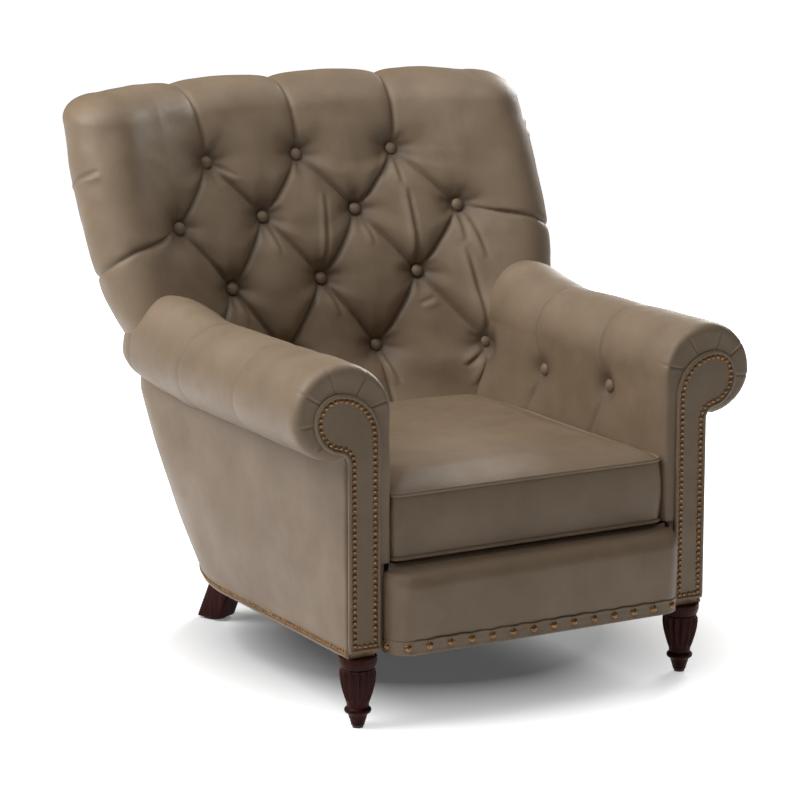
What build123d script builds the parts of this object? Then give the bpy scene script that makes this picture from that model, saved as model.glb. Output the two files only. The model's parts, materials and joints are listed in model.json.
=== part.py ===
from build123d import *
import math
import os

# A tufted leather club chair with rolled arms and one loose seat cushion.
# X runs across the chair, Y towards its rear and Z up from the floor, in millimetres.
# The arm facings stand on the plane Y = 0 until the last step, which centres the chair.

# Clearances
TOUCH_GAP = 0.3
FIT_GAP = 0.1

# Heights above the floor
BASE_UNDERSIDE = 133.0
RAIL_HEIGHT = 118.0
DECK_THICK = 40.0
CUSHION_THICK = 123.0
CUSHION_CROWN = 11.0
ROLL_ABOVE_DECK = 269.0
BACK_ABOVE_DECK = 107.0

# Widths of one side, from the middle of the chair outwards
ARM_INNER = 298.0
ARM_LINING = 22.0
POST_WIDTH = 48.0
POST_DEPTH = 50.0
PANEL_CLEAR = 1.0
PANEL_THICK = 6.0
ROLL_RADIUS = 85.0

# Seat and cushion
SEAT_DEPTH = 640.0
CUSHION_SIDE_CLEAR = 12.0
CUSHION_REAR_CLEAR = 10.0
CUSHION_FRONT_Y = 5.0
CUSHION_CORNER_RADIUS = 24.0
CUSHION_SIDE_DRAW = 5.0
CUSHION_REAR_BOW = 80.0
CUSHION_CROWN_STEPS = ((0.0, 0.0), (45.0, 0.62), (120.0, 0.93), (190.0, 1.0))
COVER_THICK = 4.0
ZIP_LENGTH = 300.0
ZIP_WIDTH = 14.0
ZIP_THICK = 1.6

# Base outline at the lower edge of the outside panels
BASE_BEND_FROM_BACK = 150.0
BASE_SIDE_RADIUS = 410.0
BASE_SIDE_TURN = 26.0
BASE_CORNER_RADIUS = 240.0
BASE_CORNER_TURN = 29.0

# Inside back: lean, wing rolls, and the levels from its bottom edge up to its shoulder
BACK_LEAN = 25.6
BACK_HEIGHT = 580.0
WING_RADIUS = 90.0
WING_FORWARD = 20.0
WING_POWER = 2.6
BACK_TOP_RISE = 57.0
BACK_TOP_INSET = 55.0
WING_FLARES = (62.0, 77.0, 95.0, 119.0, 133.0, 125.0)
REAR_TURNS = (60.0, 60.0, 63.0, 67.0, 70.0, 70.0)
TOP_ROUNDING = ((0.48, 0.16), (0.8, 0.5), (1.0, 1.0))

# Tufting of the back
BUTTON_SPACING = 208.0
BUTTON_ROWS = (0.198, 0.436, 0.65, 0.841)
FOUR_BUTTON_LEVELS = (0, 1, 3)
FOUR_STEPS = (-1.5, -0.5, 0.5, 1.5)
THREE_STEPS = (-1, 0, 1)
BUTTON_RADIUS = 12.5
BUTTON_HEIGHT = 9.0
TUFT_SINK = 30.0
PLEAT_SINK = 24.0
SIDE_PLEAT_SINK = 8.0
TUFT_HALF_WIDTH = 16.0
SIDE_PLEAT_OUT = 44.0
BOTTOM_PLEAT_SHARE = 0.4
TOP_PLEAT_SHARE = 0.35
TOP_PLEAT_FADE = 0.5

# Rolled arms
ARM_FRONT_ROUND = ((0.0, 18.0), (3.0, 9.0), (10.0, 3.0), (24.0, 0.0))
ARM_SWEEP = (
    (-170.0, 0.0, 0.0),
    (-110.0, 8.0, 0.0),
    (-60.0, 28.0, 0.0),
    (-10.0, 48.0, 0.0),
    (60.0, 66.0, 2.0),
    (90.0, 64.0, 9.0),
    (105.0, 58.0, 18.0),
)
ROLL_FLANK_ANGLE = 40.0
ARM_LEDGE_BELOW_ROLL = 67.0
ARM_UNDERSIDE_X = 17.0
ARM_UNDERSIDE_LIFT = 8.0
ARM_LINING_FROM_BACK = 80.0
ARM_BUTTON_SINK = 8.0
ARM_BUTTONS = ((0.336, 217.0), (0.695, 207.0))

# Arm facings: scroll panel, welt and nails
FACING_THICK = 8.0
FACING_SET_BACK = 1.0
FACING_LIFT = 4.0
FACING_LAP = 9.0
SCROLL_INNER_RADIUS = 82.0
SCROLL_TOP_RADIUS = 48.0
SCROLL_LOWER_RADIUS = 59.0
SCROLL_NOTCH_RADIUS = 20.0
SCROLL_RISE = 313.0
WELT = 7.0
WELT_PROUD = 2.0
SMALL_NAIL_RADIUS = 4.5
SMALL_NAIL_HEIGHT = 3.5
SMALL_NAIL_PITCH = 10.6
SMALL_NAIL_MARGIN = 0.2

# Front apron and nailed band
BAND_HEIGHT = 25.0
BAND_LIFT = 5.0
BAND_PROUD = 42.0
APRON_PROUD = 40.0
APRON_END_GAP = 6.0
APRON_TOP_ROUND = 18.0
APRON_CUSHION_GAP = 2.0
BIG_NAIL_RADIUS = 7.25
BIG_NAIL_HEIGHT = 5.0
BIG_NAIL_PITCH = 43.0
BIG_NAIL_COUNT = 16
BIG_NAIL_LIFT = 1.0

# Front legs, turned and fluted
FRONT_LEG_Y = 27.0
GLIDE_THICK = 4.0
GLIDE_MARGIN = 2.0
LEG_COLLAR_RADIUS = 34.0
LEG_COLLAR_HEIGHT = 19.0
LEG_BODY_RADIUS = 31.0
LEG_BODY_SHARE = 0.737
LEG_WAIST_RADIUS = 20.5
LEG_WAIST_SHARE = 0.43
LEG_RING_RADIUS = 24.0
LEG_RING_SHARE = 0.24
LEG_RING_HEIGHT = 9.0
LEG_ANKLE_RADIUS = 17.0
LEG_TOE_RADIUS = 12.0
LEG_CURVE = 1.0
FLUTE_COUNT = 14
FLUTE_RADIUS = 3.6

# Rear legs, square and raked
REAR_LEG_FROM_SIDE = 125.0
REAR_LEG_FROM_REAR = 57.5
REAR_LEG_WIDTH = 53.0
REAR_LEG_DEPTH = 57.0
REAR_LEG_TURN = 25.0
REAR_LEG_RAKE = 23.0

# Leg fixings
BOLT_RADIUS = 4.0
BOLT_IN_LEG = 35.0
BOLT_IN_FRAME = 30.0
INSERT_RADIUS = 6.0
INSERT_LENGTH = 25.0

# Hardwood frame
FRONT_RAIL_THICK = 40.0
SIDE_RAIL_FROM_BACK = 140.0
REAR_RAIL_HALF = 140.0
CORNER_BLOCK = 66.0
CORNER_BLOCK_HEIGHT = 60.0
ARM_RAIL_HEIGHT = 58.0
POST_FORWARD = 45.0
BACK_POST_WIDTH = 44.0
BACK_POST_DEPTH = 60.0
BACK_POST_FLARE = 63.0
CREST_BELOW_SHOULDER = 55.0
CREST_HEIGHT = 45.0
BACK_RAIL_THICK = 34.0
LOWER_RAIL_HEIGHT = 60.0
PAD_DEPTH = 75.0
DOWEL_RADIUS = 5.0
DOWEL_LENGTH = 50.0
DOWEL_SPREAD = 50.0

# Suspension and linings
SPRING_COUNT = 5
SPRING_SPACING = 62.0
SPRING_WIRE_RADIUS = 1.9
SPRING_SWING = 20.0
SPRING_LOOPS = 22
SPRING_BEND_RADIUS = 9.0
SPRING_DROP = 7.0
SPRING_END_GAP = 2.0
CLIP_SIZE = 14.0
CLIP_DEPTH = 8.0
STRAP_COUNT = 5
STRAP_SPACING = 105.0
STRAP_WIDTH = 50.0
STRAP_THICK = 2.0
DUST_COVER_THICK = 1.5
DUST_COVER_CLEAR = 3.0

# Worked out from the sizes above
PANEL_BOTTOM = BASE_UNDERSIDE + WELT
RAIL_TOP = PANEL_BOTTOM + RAIL_HEIGHT
DECK_TOP = RAIL_TOP + DECK_THICK
CUSHION_TOP = DECK_TOP + CUSHION_THICK
ROLL_Z = DECK_TOP + ROLL_ABOVE_DECK
ARM_LEDGE = ROLL_Z - ARM_LEDGE_BELOW_ROLL
SHOULDER_Z = ARM_LEDGE
BACK_BOTTOM = DECK_TOP + BACK_ABOVE_DECK
BACK_SHOULDER = BACK_BOTTOM + BACK_HEIGHT
BACK_LEVELS = tuple(share * BACK_HEIGHT for share in (0.0,) + BUTTON_ROWS + (1.0,))
FRAME_INNER = ARM_INNER + ARM_LINING
FRAME_OUTER = FRAME_INNER + POST_WIDTH
RAIL_INSET = PANEL_CLEAR + PANEL_THICK
SIDE_HALF = FRAME_OUTER + RAIL_INSET
ROLL_X = ARM_INNER + ROLL_RADIUS
FRONT_LEG_X = (FRAME_INNER + FRAME_OUTER) / 2
CREST_TOP = BACK_SHOULDER - CREST_BELOW_SHOULDER
FACING_BOTTOM = PANEL_BOTTOM + FACING_LIFT
BAND_BOTTOM = BASE_UNDERSIDE + BAND_LIFT
LEG_BODY_Z = BASE_UNDERSIDE * LEG_BODY_SHARE
LEG_WAIST_Z = BASE_UNDERSIDE * LEG_WAIST_SHARE
LEG_RING_Z = BASE_UNDERSIDE * LEG_RING_SHARE
REAR_LEG_X = SIDE_HALF - REAR_LEG_FROM_SIDE
SIDE_RAIL_END = SEAT_DEPTH - SIDE_RAIL_FROM_BACK
SHOULDER_SHARE = (SHOULDER_Z - BACK_BOTTOM) / BACK_LEVELS[1]
SHOULDER_FLARE = WING_FLARES[0] + (WING_FLARES[1] - WING_FLARES[0]) * SHOULDER_SHARE
BEYOND = SEAT_DEPTH * 3
LEAN_SLOPE = math.tan(math.radians(BACK_LEAN))


def back_y(z):
    """Y of the middle of the inside back at height z."""
    return SEAT_DEPTH + (z - BACK_BOTTOM) * LEAN_SLOPE


def mirrored(shape):
    return mirror(shape, Plane.YZ)


def box_between(low, high):
    """Box between two opposite corners."""
    size = [b - a for a, b in zip(low, high)]
    return Pos(*low) * Box(*size, align=(Align.MIN, Align.MIN, Align.MIN))


def group(solids):
    """Separate solids that share one node."""
    return Compound(children=list(solids))


def upright(radius, low, high, x, y):
    """Round bar along Z between two heights."""
    return Pos(x, y, low) * Cylinder(radius, high - low, align=(Align.CENTER, Align.CENTER, Align.MIN))


# Outlines of the base and of the outside panels


def panel_path(rear_half, bend_y, side_radius, side_turn, corner_radius, corner_turn, inset):
    """Straight run and two arcs from the facing to the rear seam, moved in by inset."""
    front = Vector(SIDE_HALF, FACING_THICK)
    bend = Vector(rear_half, bend_y)
    along = (bend - front).normalized()
    inward = Vector(-along.Y, along.X) * inset
    run = Line(front + inward, bend + inward)
    side = JernArc(run @ 1, along, side_radius - inset, side_turn)
    corner = JernArc(side @ 1, side % 1, corner_radius - inset, corner_turn)
    return [run, side, corner]


def base_path(inset):
    bend_y = SEAT_DEPTH - BASE_BEND_FROM_BACK
    arcs = (BASE_SIDE_RADIUS, BASE_SIDE_TURN, BASE_CORNER_RADIUS, BASE_CORNER_TURN)
    return panel_path(SIDE_HALF, bend_y, *arcs, inset)


def shoulder_path(inset):
    """Outline of the outside panels under the arm rolls, tangent to the wing of the back."""
    wing = Vector(SIDE_HALF + SHOULDER_FLARE - WING_RADIUS, back_y(SHOULDER_Z) - WING_FORWARD)
    reach = wing - Vector(SIDE_HALF, FACING_THICK)
    flare = math.atan2(reach.X, reach.Y) + math.asin(WING_RADIUS / reach.length)
    rear_half = wing.X + WING_RADIUS * math.cos(flare)
    bend_y = wing.Y - WING_RADIUS * math.sin(flare)
    half_turn = (REAR_TURNS[0] + math.degrees(flare)) / 2
    return panel_path(rear_half, bend_y, WING_RADIUS, half_turn, WING_RADIUS, half_turn, inset)


def rear_middle(seam, normal_angle):
    """Y where an arc centred on the middle plane, tangent at the seam, crosses that plane."""
    turn = math.radians(normal_angle)
    return seam.Y + seam.X / math.cos(turn) * (1 - math.sin(turn))


def base_rear(inset):
    seam = base_path(inset)[-1] @ 1
    return seam, rear_middle(seam, BASE_SIDE_TURN + BASE_CORNER_TURN)


def base_plan(inset):
    """Face of the whole base outline, moved in by inset."""
    right = base_path(inset)
    left = [mirrored(edge) for edge in right]
    seam, rear_y = base_rear(inset)
    rear = ThreePointArc(seam, (0, rear_y), (-seam.X, seam.Y))
    front = Line(right[0] @ 0, left[0] @ 0)
    return make_face(right + left + [rear, front])


def base_ring(inset, width, low, high):
    """Band that follows the base outline, open at the front."""
    outer = extrude(base_plan(inset), high - low)
    inner = extrude(base_plan(inset + width), high - low)
    return Pos(0, 0, low) * (outer - inner)


# Legs and their fixings


def front_leg():
    """Turned leg: toe, ankle, ring, waist, fluted vase body and collar."""
    collar_z = BASE_UNDERSIDE - LEG_COLLAR_HEIGHT
    neck = (LEG_BODY_RADIUS + LEG_WAIST_RADIUS) / 2
    body_start = (LEG_BODY_Z + LEG_WAIST_Z) / 2
    ring_top = LEG_RING_Z + LEG_RING_HEIGHT / 2
    ring_low = LEG_RING_Z - LEG_RING_HEIGHT / 2
    outline = [
        Line((0, GLIDE_THICK), (LEG_TOE_RADIUS, GLIDE_THICK)),
        Line((LEG_TOE_RADIUS, GLIDE_THICK), (LEG_ANKLE_RADIUS, ring_low)),
        ThreePointArc(
            (LEG_ANKLE_RADIUS, ring_low),
            (LEG_RING_RADIUS, LEG_RING_Z),
            (LEG_ANKLE_RADIUS, ring_top),
        ),
        Line((LEG_ANKLE_RADIUS, ring_top), (LEG_WAIST_RADIUS, LEG_WAIST_Z)),
        ThreePointArc(
            (LEG_WAIST_RADIUS, LEG_WAIST_Z),
            (neck - LEG_CURVE, body_start),
            (LEG_BODY_RADIUS, LEG_BODY_Z),
        ),
        ThreePointArc(
            (LEG_BODY_RADIUS, LEG_BODY_Z),
            (LEG_BODY_RADIUS - LEG_CURVE, (LEG_BODY_Z + collar_z) / 2),
            (neck, collar_z),
        ),
        Line((neck, collar_z), (LEG_COLLAR_RADIUS, collar_z)),
        Line((LEG_COLLAR_RADIUS, collar_z), (LEG_COLLAR_RADIUS, BASE_UNDERSIDE)),
        Line((LEG_COLLAR_RADIUS, BASE_UNDERSIDE), (0, BASE_UNDERSIDE)),
        Line((0, BASE_UNDERSIDE), (0, GLIDE_THICK)),
    ]
    profile = Plane.XZ * make_face(outline)
    leg = revolve(profile, Axis.Z)
    for index in range(FLUTE_COUNT):
        turn = Rot(0, 0, 360 * index / FLUTE_COUNT)
        low = Vector(LEG_WAIST_RADIUS + FLUTE_RADIUS / 2, 0, LEG_WAIST_Z)
        high = Vector(LEG_BODY_RADIUS + FLUTE_RADIUS / 2, 0, LEG_BODY_Z)
        length = (high - low).length
        flute = Plane(origin=low, z_dir=high - low) * Cylinder(
            FLUTE_RADIUS, length, align=(Align.CENTER, Align.CENTER, Align.MIN)
        )
        leg = leg - turn * flute
    leg = Pos(FRONT_LEG_X, FRONT_LEG_Y, 0) * leg
    return leg - leg_bore(FRONT_LEG_X, FRONT_LEG_Y, BASE_UNDERSIDE)


def rear_leg_center(z):
    """Middle of the right rear leg at height z: it rakes forward and inward going up."""
    shift = z * math.tan(math.radians(REAR_LEG_RAKE))
    turn = math.radians(REAR_LEG_TURN)
    rear_y = base_rear(0)[1] - REAR_LEG_FROM_REAR
    return REAR_LEG_X - shift * math.sin(turn), rear_y - shift * math.cos(turn)


def turned_rectangle(center, z):
    """Square section of the rear leg, turned to follow the curved corner."""
    plan = Rot(0, 0, -REAR_LEG_TURN) * Rectangle(REAR_LEG_WIDTH, REAR_LEG_DEPTH)
    return Pos(*center, z) * plan


def rear_leg():
    low = turned_rectangle(rear_leg_center(0), GLIDE_THICK)
    high = turned_rectangle(rear_leg_center(PANEL_BOTTOM), PANEL_BOTTOM)
    leg = loft([low.face(), high.face()], ruled=True)
    return leg - leg_bore(*rear_leg_center(PANEL_BOTTOM), PANEL_BOTTOM)


def leg_bore(x, y, joint_z):
    return upright(BOLT_RADIUS + FIT_GAP, joint_z - BOLT_IN_LEG - FIT_GAP, joint_z, x, y)


def frame_bore(x, y, joint_z):
    """Hole in the frame for a leg bolt and the threaded insert round it."""
    hole = upright(BOLT_RADIUS + FIT_GAP, joint_z, joint_z + BOLT_IN_FRAME + FIT_GAP, x, y)
    return hole + upright(INSERT_RADIUS + FIT_GAP, joint_z, joint_z + INSERT_LENGTH, x, y)


def leg_bolt(x, y, joint_z):
    return upright(BOLT_RADIUS, joint_z - BOLT_IN_LEG, joint_z + BOLT_IN_FRAME, x, y)


def leg_insert(x, y, joint_z):
    sleeve = upright(INSERT_RADIUS, joint_z, joint_z + INSERT_LENGTH, x, y)
    return sleeve - upright(BOLT_RADIUS + FIT_GAP, joint_z, joint_z + INSERT_LENGTH, x, y)


def leg_joints():
    """X, Y and height of each joint between a leg and the frame."""
    rear_x, rear_y = rear_leg_center(PANEL_BOTTOM)
    right = [(FRONT_LEG_X, FRONT_LEG_Y, BASE_UNDERSIDE), (rear_x, rear_y, PANEL_BOTTOM)]
    return right + [(-x, y, z) for x, y, z in right]


def foot_glides():
    rear_x, rear_y = rear_leg_center(0)
    toe = LEG_TOE_RADIUS - GLIDE_MARGIN
    heel = REAR_LEG_WIDTH / 2 - 2 * GLIDE_MARGIN
    right = [
        upright(toe, 0, GLIDE_THICK, FRONT_LEG_X, FRONT_LEG_Y),
        upright(heel, 0, GLIDE_THICK, rear_x, rear_y),
    ]
    return group(right + [mirrored(glide) for glide in right])


# Hardwood frame


def dowel_spots():
    """Center and direction of each dowel on the right-hand side of the frame."""
    spots = []
    middle = (PANEL_BOTTOM + RAIL_TOP) / 2
    rail_y = FACING_THICK + FRONT_RAIL_THICK / 2
    seam, rear_y = base_rear(RAIL_INSET)
    for height in (middle - DOWEL_SPREAD / 2, middle + DOWEL_SPREAD / 2):
        spots.append(((FRAME_INNER, rail_y, height), "X"))
        spots.append(((FRONT_LEG_X, FACING_THICK + POST_DEPTH, height), "Y"))
        spots.append(((REAR_RAIL_HALF, rear_y - POST_WIDTH, height), "X"))
    return spots


def dowel(spot, direction, radius, length):
    turn = Rot(0, 90, 0) if direction == "X" else Rot(90, 0, 0)
    return Pos(*spot) * turn * Cylinder(radius, length)


def dowel_bores():
    right = [dowel(*spot, DOWEL_RADIUS + FIT_GAP, DOWEL_LENGTH + 2 * FIT_GAP) for spot in dowel_spots()]
    return right + [mirrored(bore) for bore in right]


def bored(shape):
    """Frame piece with its dowel holes."""
    for bore in dowel_bores():
        shape = shape - bore
    return shape


def arm_post():
    low = (FRAME_INNER, FACING_THICK, BASE_UNDERSIDE)
    high = (FRAME_OUTER, FACING_THICK + POST_DEPTH, ARM_LEDGE)
    return bored(box_between(low, high) - frame_bore(*leg_joints()[0]))


def front_rail():
    low = (-FRAME_INNER, FACING_THICK, PANEL_BOTTOM)
    high = (FRAME_INNER, FACING_THICK + FRONT_RAIL_THICK, RAIL_TOP)
    return bored(box_between(low, high))


def rail_part(low_x, high_x, low_y, high_y):
    """Part of the rail ring that lies between two X and two Y values."""
    ring = base_ring(RAIL_INSET, POST_WIDTH, PANEL_BOTTOM, RAIL_TOP)
    window = box_between((low_x, low_y, PANEL_BOTTOM), (high_x, high_y, RAIL_TOP))
    return bored(ring & window)


def side_rail():
    return rail_part(0, SIDE_HALF, FACING_THICK + POST_DEPTH, SIDE_RAIL_END)


def rear_corner_rail():
    rail = rail_part(REAR_RAIL_HALF, SIDE_HALF, SIDE_RAIL_END, BEYOND)
    return rail - frame_bore(*leg_joints()[1])


def rear_rail():
    return rail_part(-REAR_RAIL_HALF, REAR_RAIL_HALF, SIDE_RAIL_END, BEYOND)


def corner_blocks():
    """Glued triangular blocks behind the front rail."""
    corner_y = FACING_THICK + POST_DEPTH
    plan = Polyline(
        (FRAME_INNER, corner_y),
        (FRAME_INNER, corner_y + CORNER_BLOCK),
        (FRAME_INNER - CORNER_BLOCK, FACING_THICK + FRONT_RAIL_THICK),
        (FRAME_INNER, FACING_THICK + FRONT_RAIL_THICK),
        close=True,
    )
    middle = (PANEL_BOTTOM + RAIL_TOP - CORNER_BLOCK_HEIGHT) / 2
    block = Pos(0, 0, middle) * extrude(make_face(plan), CORNER_BLOCK_HEIGHT)
    return group([block, mirrored(block)])


def post_middle(z):
    """Middle of the right back post at height z: it leans back and flares outward."""
    share = (z - RAIL_TOP) / (CREST_TOP - RAIL_TOP)
    x = FRAME_INNER + BACK_POST_WIDTH / 2 + BACK_POST_FLARE * share
    y = back_y(z) - POST_FORWARD + BACK_POST_DEPTH / 2
    return x, y


def back_post():
    plan = Rectangle(BACK_POST_WIDTH, BACK_POST_DEPTH)
    low = Pos(*post_middle(RAIL_TOP), RAIL_TOP) * plan
    high = Pos(*post_middle(CREST_TOP), CREST_TOP) * plan
    return loft([low.face(), high.face()], ruled=True)


def arm_rail():
    low = (FRAME_INNER, FACING_THICK + POST_DEPTH, ARM_LEDGE - ARM_RAIL_HEIGHT)
    high = (FRAME_OUTER, back_y(ARM_LEDGE), ARM_LEDGE)
    rail = box_between(low, high) - back_post()
    return rail.solids().sort_by(Axis.Y)[0]


def frame_bow(z):
    """Half width, end Y and middle Y of the curve that the back rails follow at height z."""
    half = post_middle(z)[0] - BACK_POST_WIDTH / 2
    return half, back_y(z) - POST_FORWARD, back_y(z) + PAD_DEPTH


def bow_face(z):
    """Section of a back rail at height z, from the inner face of one post to the other."""
    half, end_y, middle_y = frame_bow(z)
    front = ThreePointArc((-half, end_y, z), (0, middle_y, z), (half, end_y, z))
    rear = Pos(0, BACK_RAIL_THICK, 0) * front
    ends = [Line(front @ 0, rear @ 0), Line(front @ 1, rear @ 1)]
    return make_face([front, rear] + ends)


def bowed_rail(z, height):
    """Rail sawn to the curve and lean of the back, with its top at z."""
    return loft([bow_face(z - height), bow_face(z)], ruled=True)


def crest_rail():
    return bowed_rail(CREST_TOP, CREST_HEIGHT)


def lower_back_rail():
    return bowed_rail(BACK_BOTTOM, LOWER_RAIL_HEIGHT)


# Suspension and linings


def spring_offsets():
    return [(index - (SPRING_COUNT - 1) / 2) * SPRING_SPACING for index in range(SPRING_COUNT)]


def rear_rail_front(x):
    """Y of the inner face of the rear rail at x."""
    seam, middle_y = base_rear(RAIL_INSET + POST_WIDTH)
    turn = math.radians(BASE_SIDE_TURN + BASE_CORNER_TURN)
    radius = seam.X / math.cos(turn)
    return middle_y - radius + math.sqrt(radius * radius - x * x)


def spring(x):
    """Sinuous wire from the front rail to the rear rail."""
    start = FACING_THICK + FRONT_RAIL_THICK + SPRING_END_GAP
    end = rear_rail_front(abs(x) + CLIP_SIZE) - SPRING_END_GAP
    step = (end - start) / (SPRING_LOOPS + 1)
    z = RAIL_TOP - SPRING_DROP
    points = [Vector(x, start, z)]
    for loop in range(SPRING_LOOPS):
        side = 1 if loop % 2 else -1
        y = start + (loop + 1) * step
        points.append(Vector(x + side * SPRING_SWING, y, z))
    points.append(Vector(x, end, z))
    path = FilletPolyline(*points, radius=SPRING_BEND_RADIUS)
    section = Plane(origin=path @ 0, z_dir=path % 0) * Circle(SPRING_WIRE_RADIUS)
    return sweep(section, path)


def clip(x, y, sign):
    """Block that holds a spring's end against a rail; sign says which way it stands off."""
    edge = y + sign * CLIP_DEPTH
    half = CLIP_SIZE / 2
    z = RAIL_TOP - SPRING_DROP
    low = (x - half, min(y, edge), z - half)
    high = (x + half, max(y, edge), z + SPRING_DROP)
    return box_between(low, high)


def spring_parts():
    """Springs, and the clips with the wire's path cut through them."""
    springs = [spring(x) for x in spring_offsets()]
    clips = []
    for x, wire in zip(spring_offsets(), springs):
        front = clip(x, FACING_THICK + FRONT_RAIL_THICK, 1)
        rear = clip(x, rear_rail_front(abs(x) + CLIP_SIZE), -1)
        clips += [front - wire, rear - wire]
    return group(springs), group(clips)


def seat_deck():
    """Padded deck on the rails, narrower between the front posts."""
    rear = back_y(RAIL_TOP) - POST_FORWARD - TOUCH_GAP
    post_rear = FACING_THICK + POST_DEPTH
    half = (FRAME_INNER + FRAME_OUTER) / 2
    deck = box_between((-half, post_rear, RAIL_TOP), (half, rear, DECK_TOP))
    return deck + box_between((-FRAME_INNER, FACING_THICK, RAIL_TOP), (FRAME_INNER, post_rear, DECK_TOP))


def back_webbing():
    """Straps down the rear faces of the crest and lower back rails."""
    straps = []
    low_z = BACK_BOTTOM - LOWER_RAIL_HEIGHT
    for index in range(STRAP_COUNT):
        x = (index - (STRAP_COUNT - 1) / 2) * STRAP_SPACING
        straps.append(loft([strap_edge(x, low_z), strap_edge(x, CREST_TOP)], ruled=True))
    return group(straps)


def strap_edge(x, z):
    """Thin end of a strap against the rear face of a bowed rail."""
    half, end_y, middle_y = frame_bow(z)
    sag = middle_y - end_y
    radius = (half * half + sag * sag) / (2 * sag)

    def rear_y(at):
        bow = middle_y - radius + math.sqrt(radius * radius - at * at)
        return bow + BACK_RAIL_THICK + 2 * TOUCH_GAP

    near, far = x - STRAP_WIDTH / 2, x + STRAP_WIDTH / 2
    lift = rear_y(x) - (rear_y(near) + rear_y(far)) / 2
    corners = [
        (near, rear_y(near) + lift, z),
        (far, rear_y(far) + lift, z),
        (far, rear_y(far) + lift + STRAP_THICK, z),
        (near, rear_y(near) + lift + STRAP_THICK, z),
    ]
    return make_face(Polyline(*corners, close=True))


def dust_cover():
    """Cloth under the rails, cut round the legs and front posts."""
    cloth = extrude(base_plan(WELT + DUST_COVER_CLEAR), DUST_COVER_THICK)
    cloth = Pos(0, 0, PANEL_BOTTOM - DUST_COVER_THICK) * cloth
    leg_hole = Rot(0, 0, -REAR_LEG_TURN) * Box(
        REAR_LEG_WIDTH + 4 * DUST_COVER_CLEAR, REAR_LEG_DEPTH + 4 * DUST_COVER_CLEAR, BASE_UNDERSIDE
    )
    leg_hole = Pos(*rear_leg_center(PANEL_BOTTOM), PANEL_BOTTOM) * leg_hole
    reach = DUST_COVER_CLEAR
    low = (FRAME_INNER - reach, 0, 0)
    high = (SIDE_HALF, FACING_THICK + POST_DEPTH + reach, PANEL_BOTTOM)
    for hole in (leg_hole, box_between(low, high)):
        cloth = cloth - hole - mirrored(hole)
    return cloth


# Inside back


def back_profile(index):
    """Wing half width and rear turn of one level of the back."""
    return SIDE_HALF + WING_FLARES[index], REAR_TURNS[index]


def tuft_joins(four, wing_x):
    """X of the creases, left to right, at a level with four buttons or with three."""
    joins = []
    for step in FOUR_STEPS if four else THREE_STEPS:
        joins += [step * BUTTON_SPACING - TUFT_HALF_WIDTH, step * BUTTON_SPACING + TUFT_HALF_WIDTH]
    if not four:
        outer = FOUR_STEPS[-1] * BUTTON_SPACING + SIDE_PLEAT_OUT
        joins = [-outer] + joins + [outer]
    return [-wing_x] + joins + [wing_x]


def crease_sinks(four):
    """Depth of each crease, left to right: none at the wings, less at the side pleats."""
    deep = [PLEAT_SINK] * (2 * len(FOUR_STEPS if four else THREE_STEPS))
    if not four:
        deep = [SIDE_PLEAT_SINK] + deep + [SIDE_PLEAT_SINK]
    return [0.0] + deep + [0.0]


def back_section(index, z, inset, share, recess):
    """Outline of the back at height z: tufted front, rolled wings and a rear recessed for its panel."""
    half_width, turn = back_profile(index)
    wing_x = half_width - WING_RADIUS
    radius = WING_RADIUS - inset
    front_y = back_y(min(z, BACK_SHOULDER))
    wing_y = front_y - WING_FORWARD
    drop = WING_FORWARD + WING_RADIUS
    four = index in FOUR_BUTTON_LEVELS

    def surface(x, sink):
        return front_y + inset - drop * (abs(x) / wing_x) ** WING_POWER + sink * share

    joins, sinks = tuft_joins(four, wing_x), crease_sinks(four)
    last = len(joins) - 2
    edges = []
    for place in range(last + 1):
        left, right = joins[place], joins[place + 1]
        start, end = surface(left, sinks[place]), surface(right, sinks[place + 1])
        middle = (left + right) / 2
        narrow = right - left < BUTTON_SPACING / 2 and 0 < place < last
        apex = surface(middle, TUFT_SINK if narrow else 0)
        if place in (0, last):
            apex = (start + end - SIDE_PLEAT_SINK / 2) / 2
        edges.append(ThreePointArc((left, start, z), (middle, apex, z), (right, end, z)))
    for side in (1, -1):
        wing = wing_points(side, wing_x, wing_y, radius, turn, z)
        edges.append(ThreePointArc(*wing[:3]))
        edges.append(ThreePointArc(*wing[2:]))
        if recess:
            edges.append(Line(wing[-1], wing_points(side, wing_x, wing_y, radius - recess, turn, z)[-1]))
    seam = Vector(*wing_points(1, wing_x, wing_y, radius - recess, turn, z)[-1])
    edges.append(ThreePointArc(seam, (0, rear_middle(seam, turn), z), (-seam.X, seam.Y, z)))
    return make_face(edges)


def wing_points(side, wing_x, wing_y, radius, turn, z):
    """Five points round the rolled wing, from its front to the rear seam."""
    points = []
    for angle in (-90, -45, 0, turn / 2, turn):
        turned = math.radians(angle)
        points.append((side * (wing_x + radius * math.cos(turned)), wing_y + radius * math.sin(turned), z))
    return points


def back_form(inset, recess):
    """Closed form of the whole back: the leaning part, then the rounded top."""
    shares = [BOTTOM_PLEAT_SHARE] + [1.0] * len(BUTTON_ROWS) + [TOP_PLEAT_SHARE]
    sections = []
    for index, (level, share) in enumerate(zip(BACK_LEVELS, shares)):
        sections.append(back_section(index, BACK_BOTTOM + level, inset, share, recess))
    last = len(BACK_LEVELS) - 1
    top = [back_section(last, BACK_SHOULDER, inset, TOP_PLEAT_SHARE, 0)]
    for rise, draw in TOP_ROUNDING:
        z = BACK_SHOULDER + rise * BACK_TOP_RISE
        share = TOP_PLEAT_SHARE * (1 - TOP_PLEAT_FADE * rise)
        top.append(back_section(last, z, inset + draw * BACK_TOP_INSET, share, 0))
    return loft(sections, ruled=True) + loft(top, ruled=True)


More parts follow.
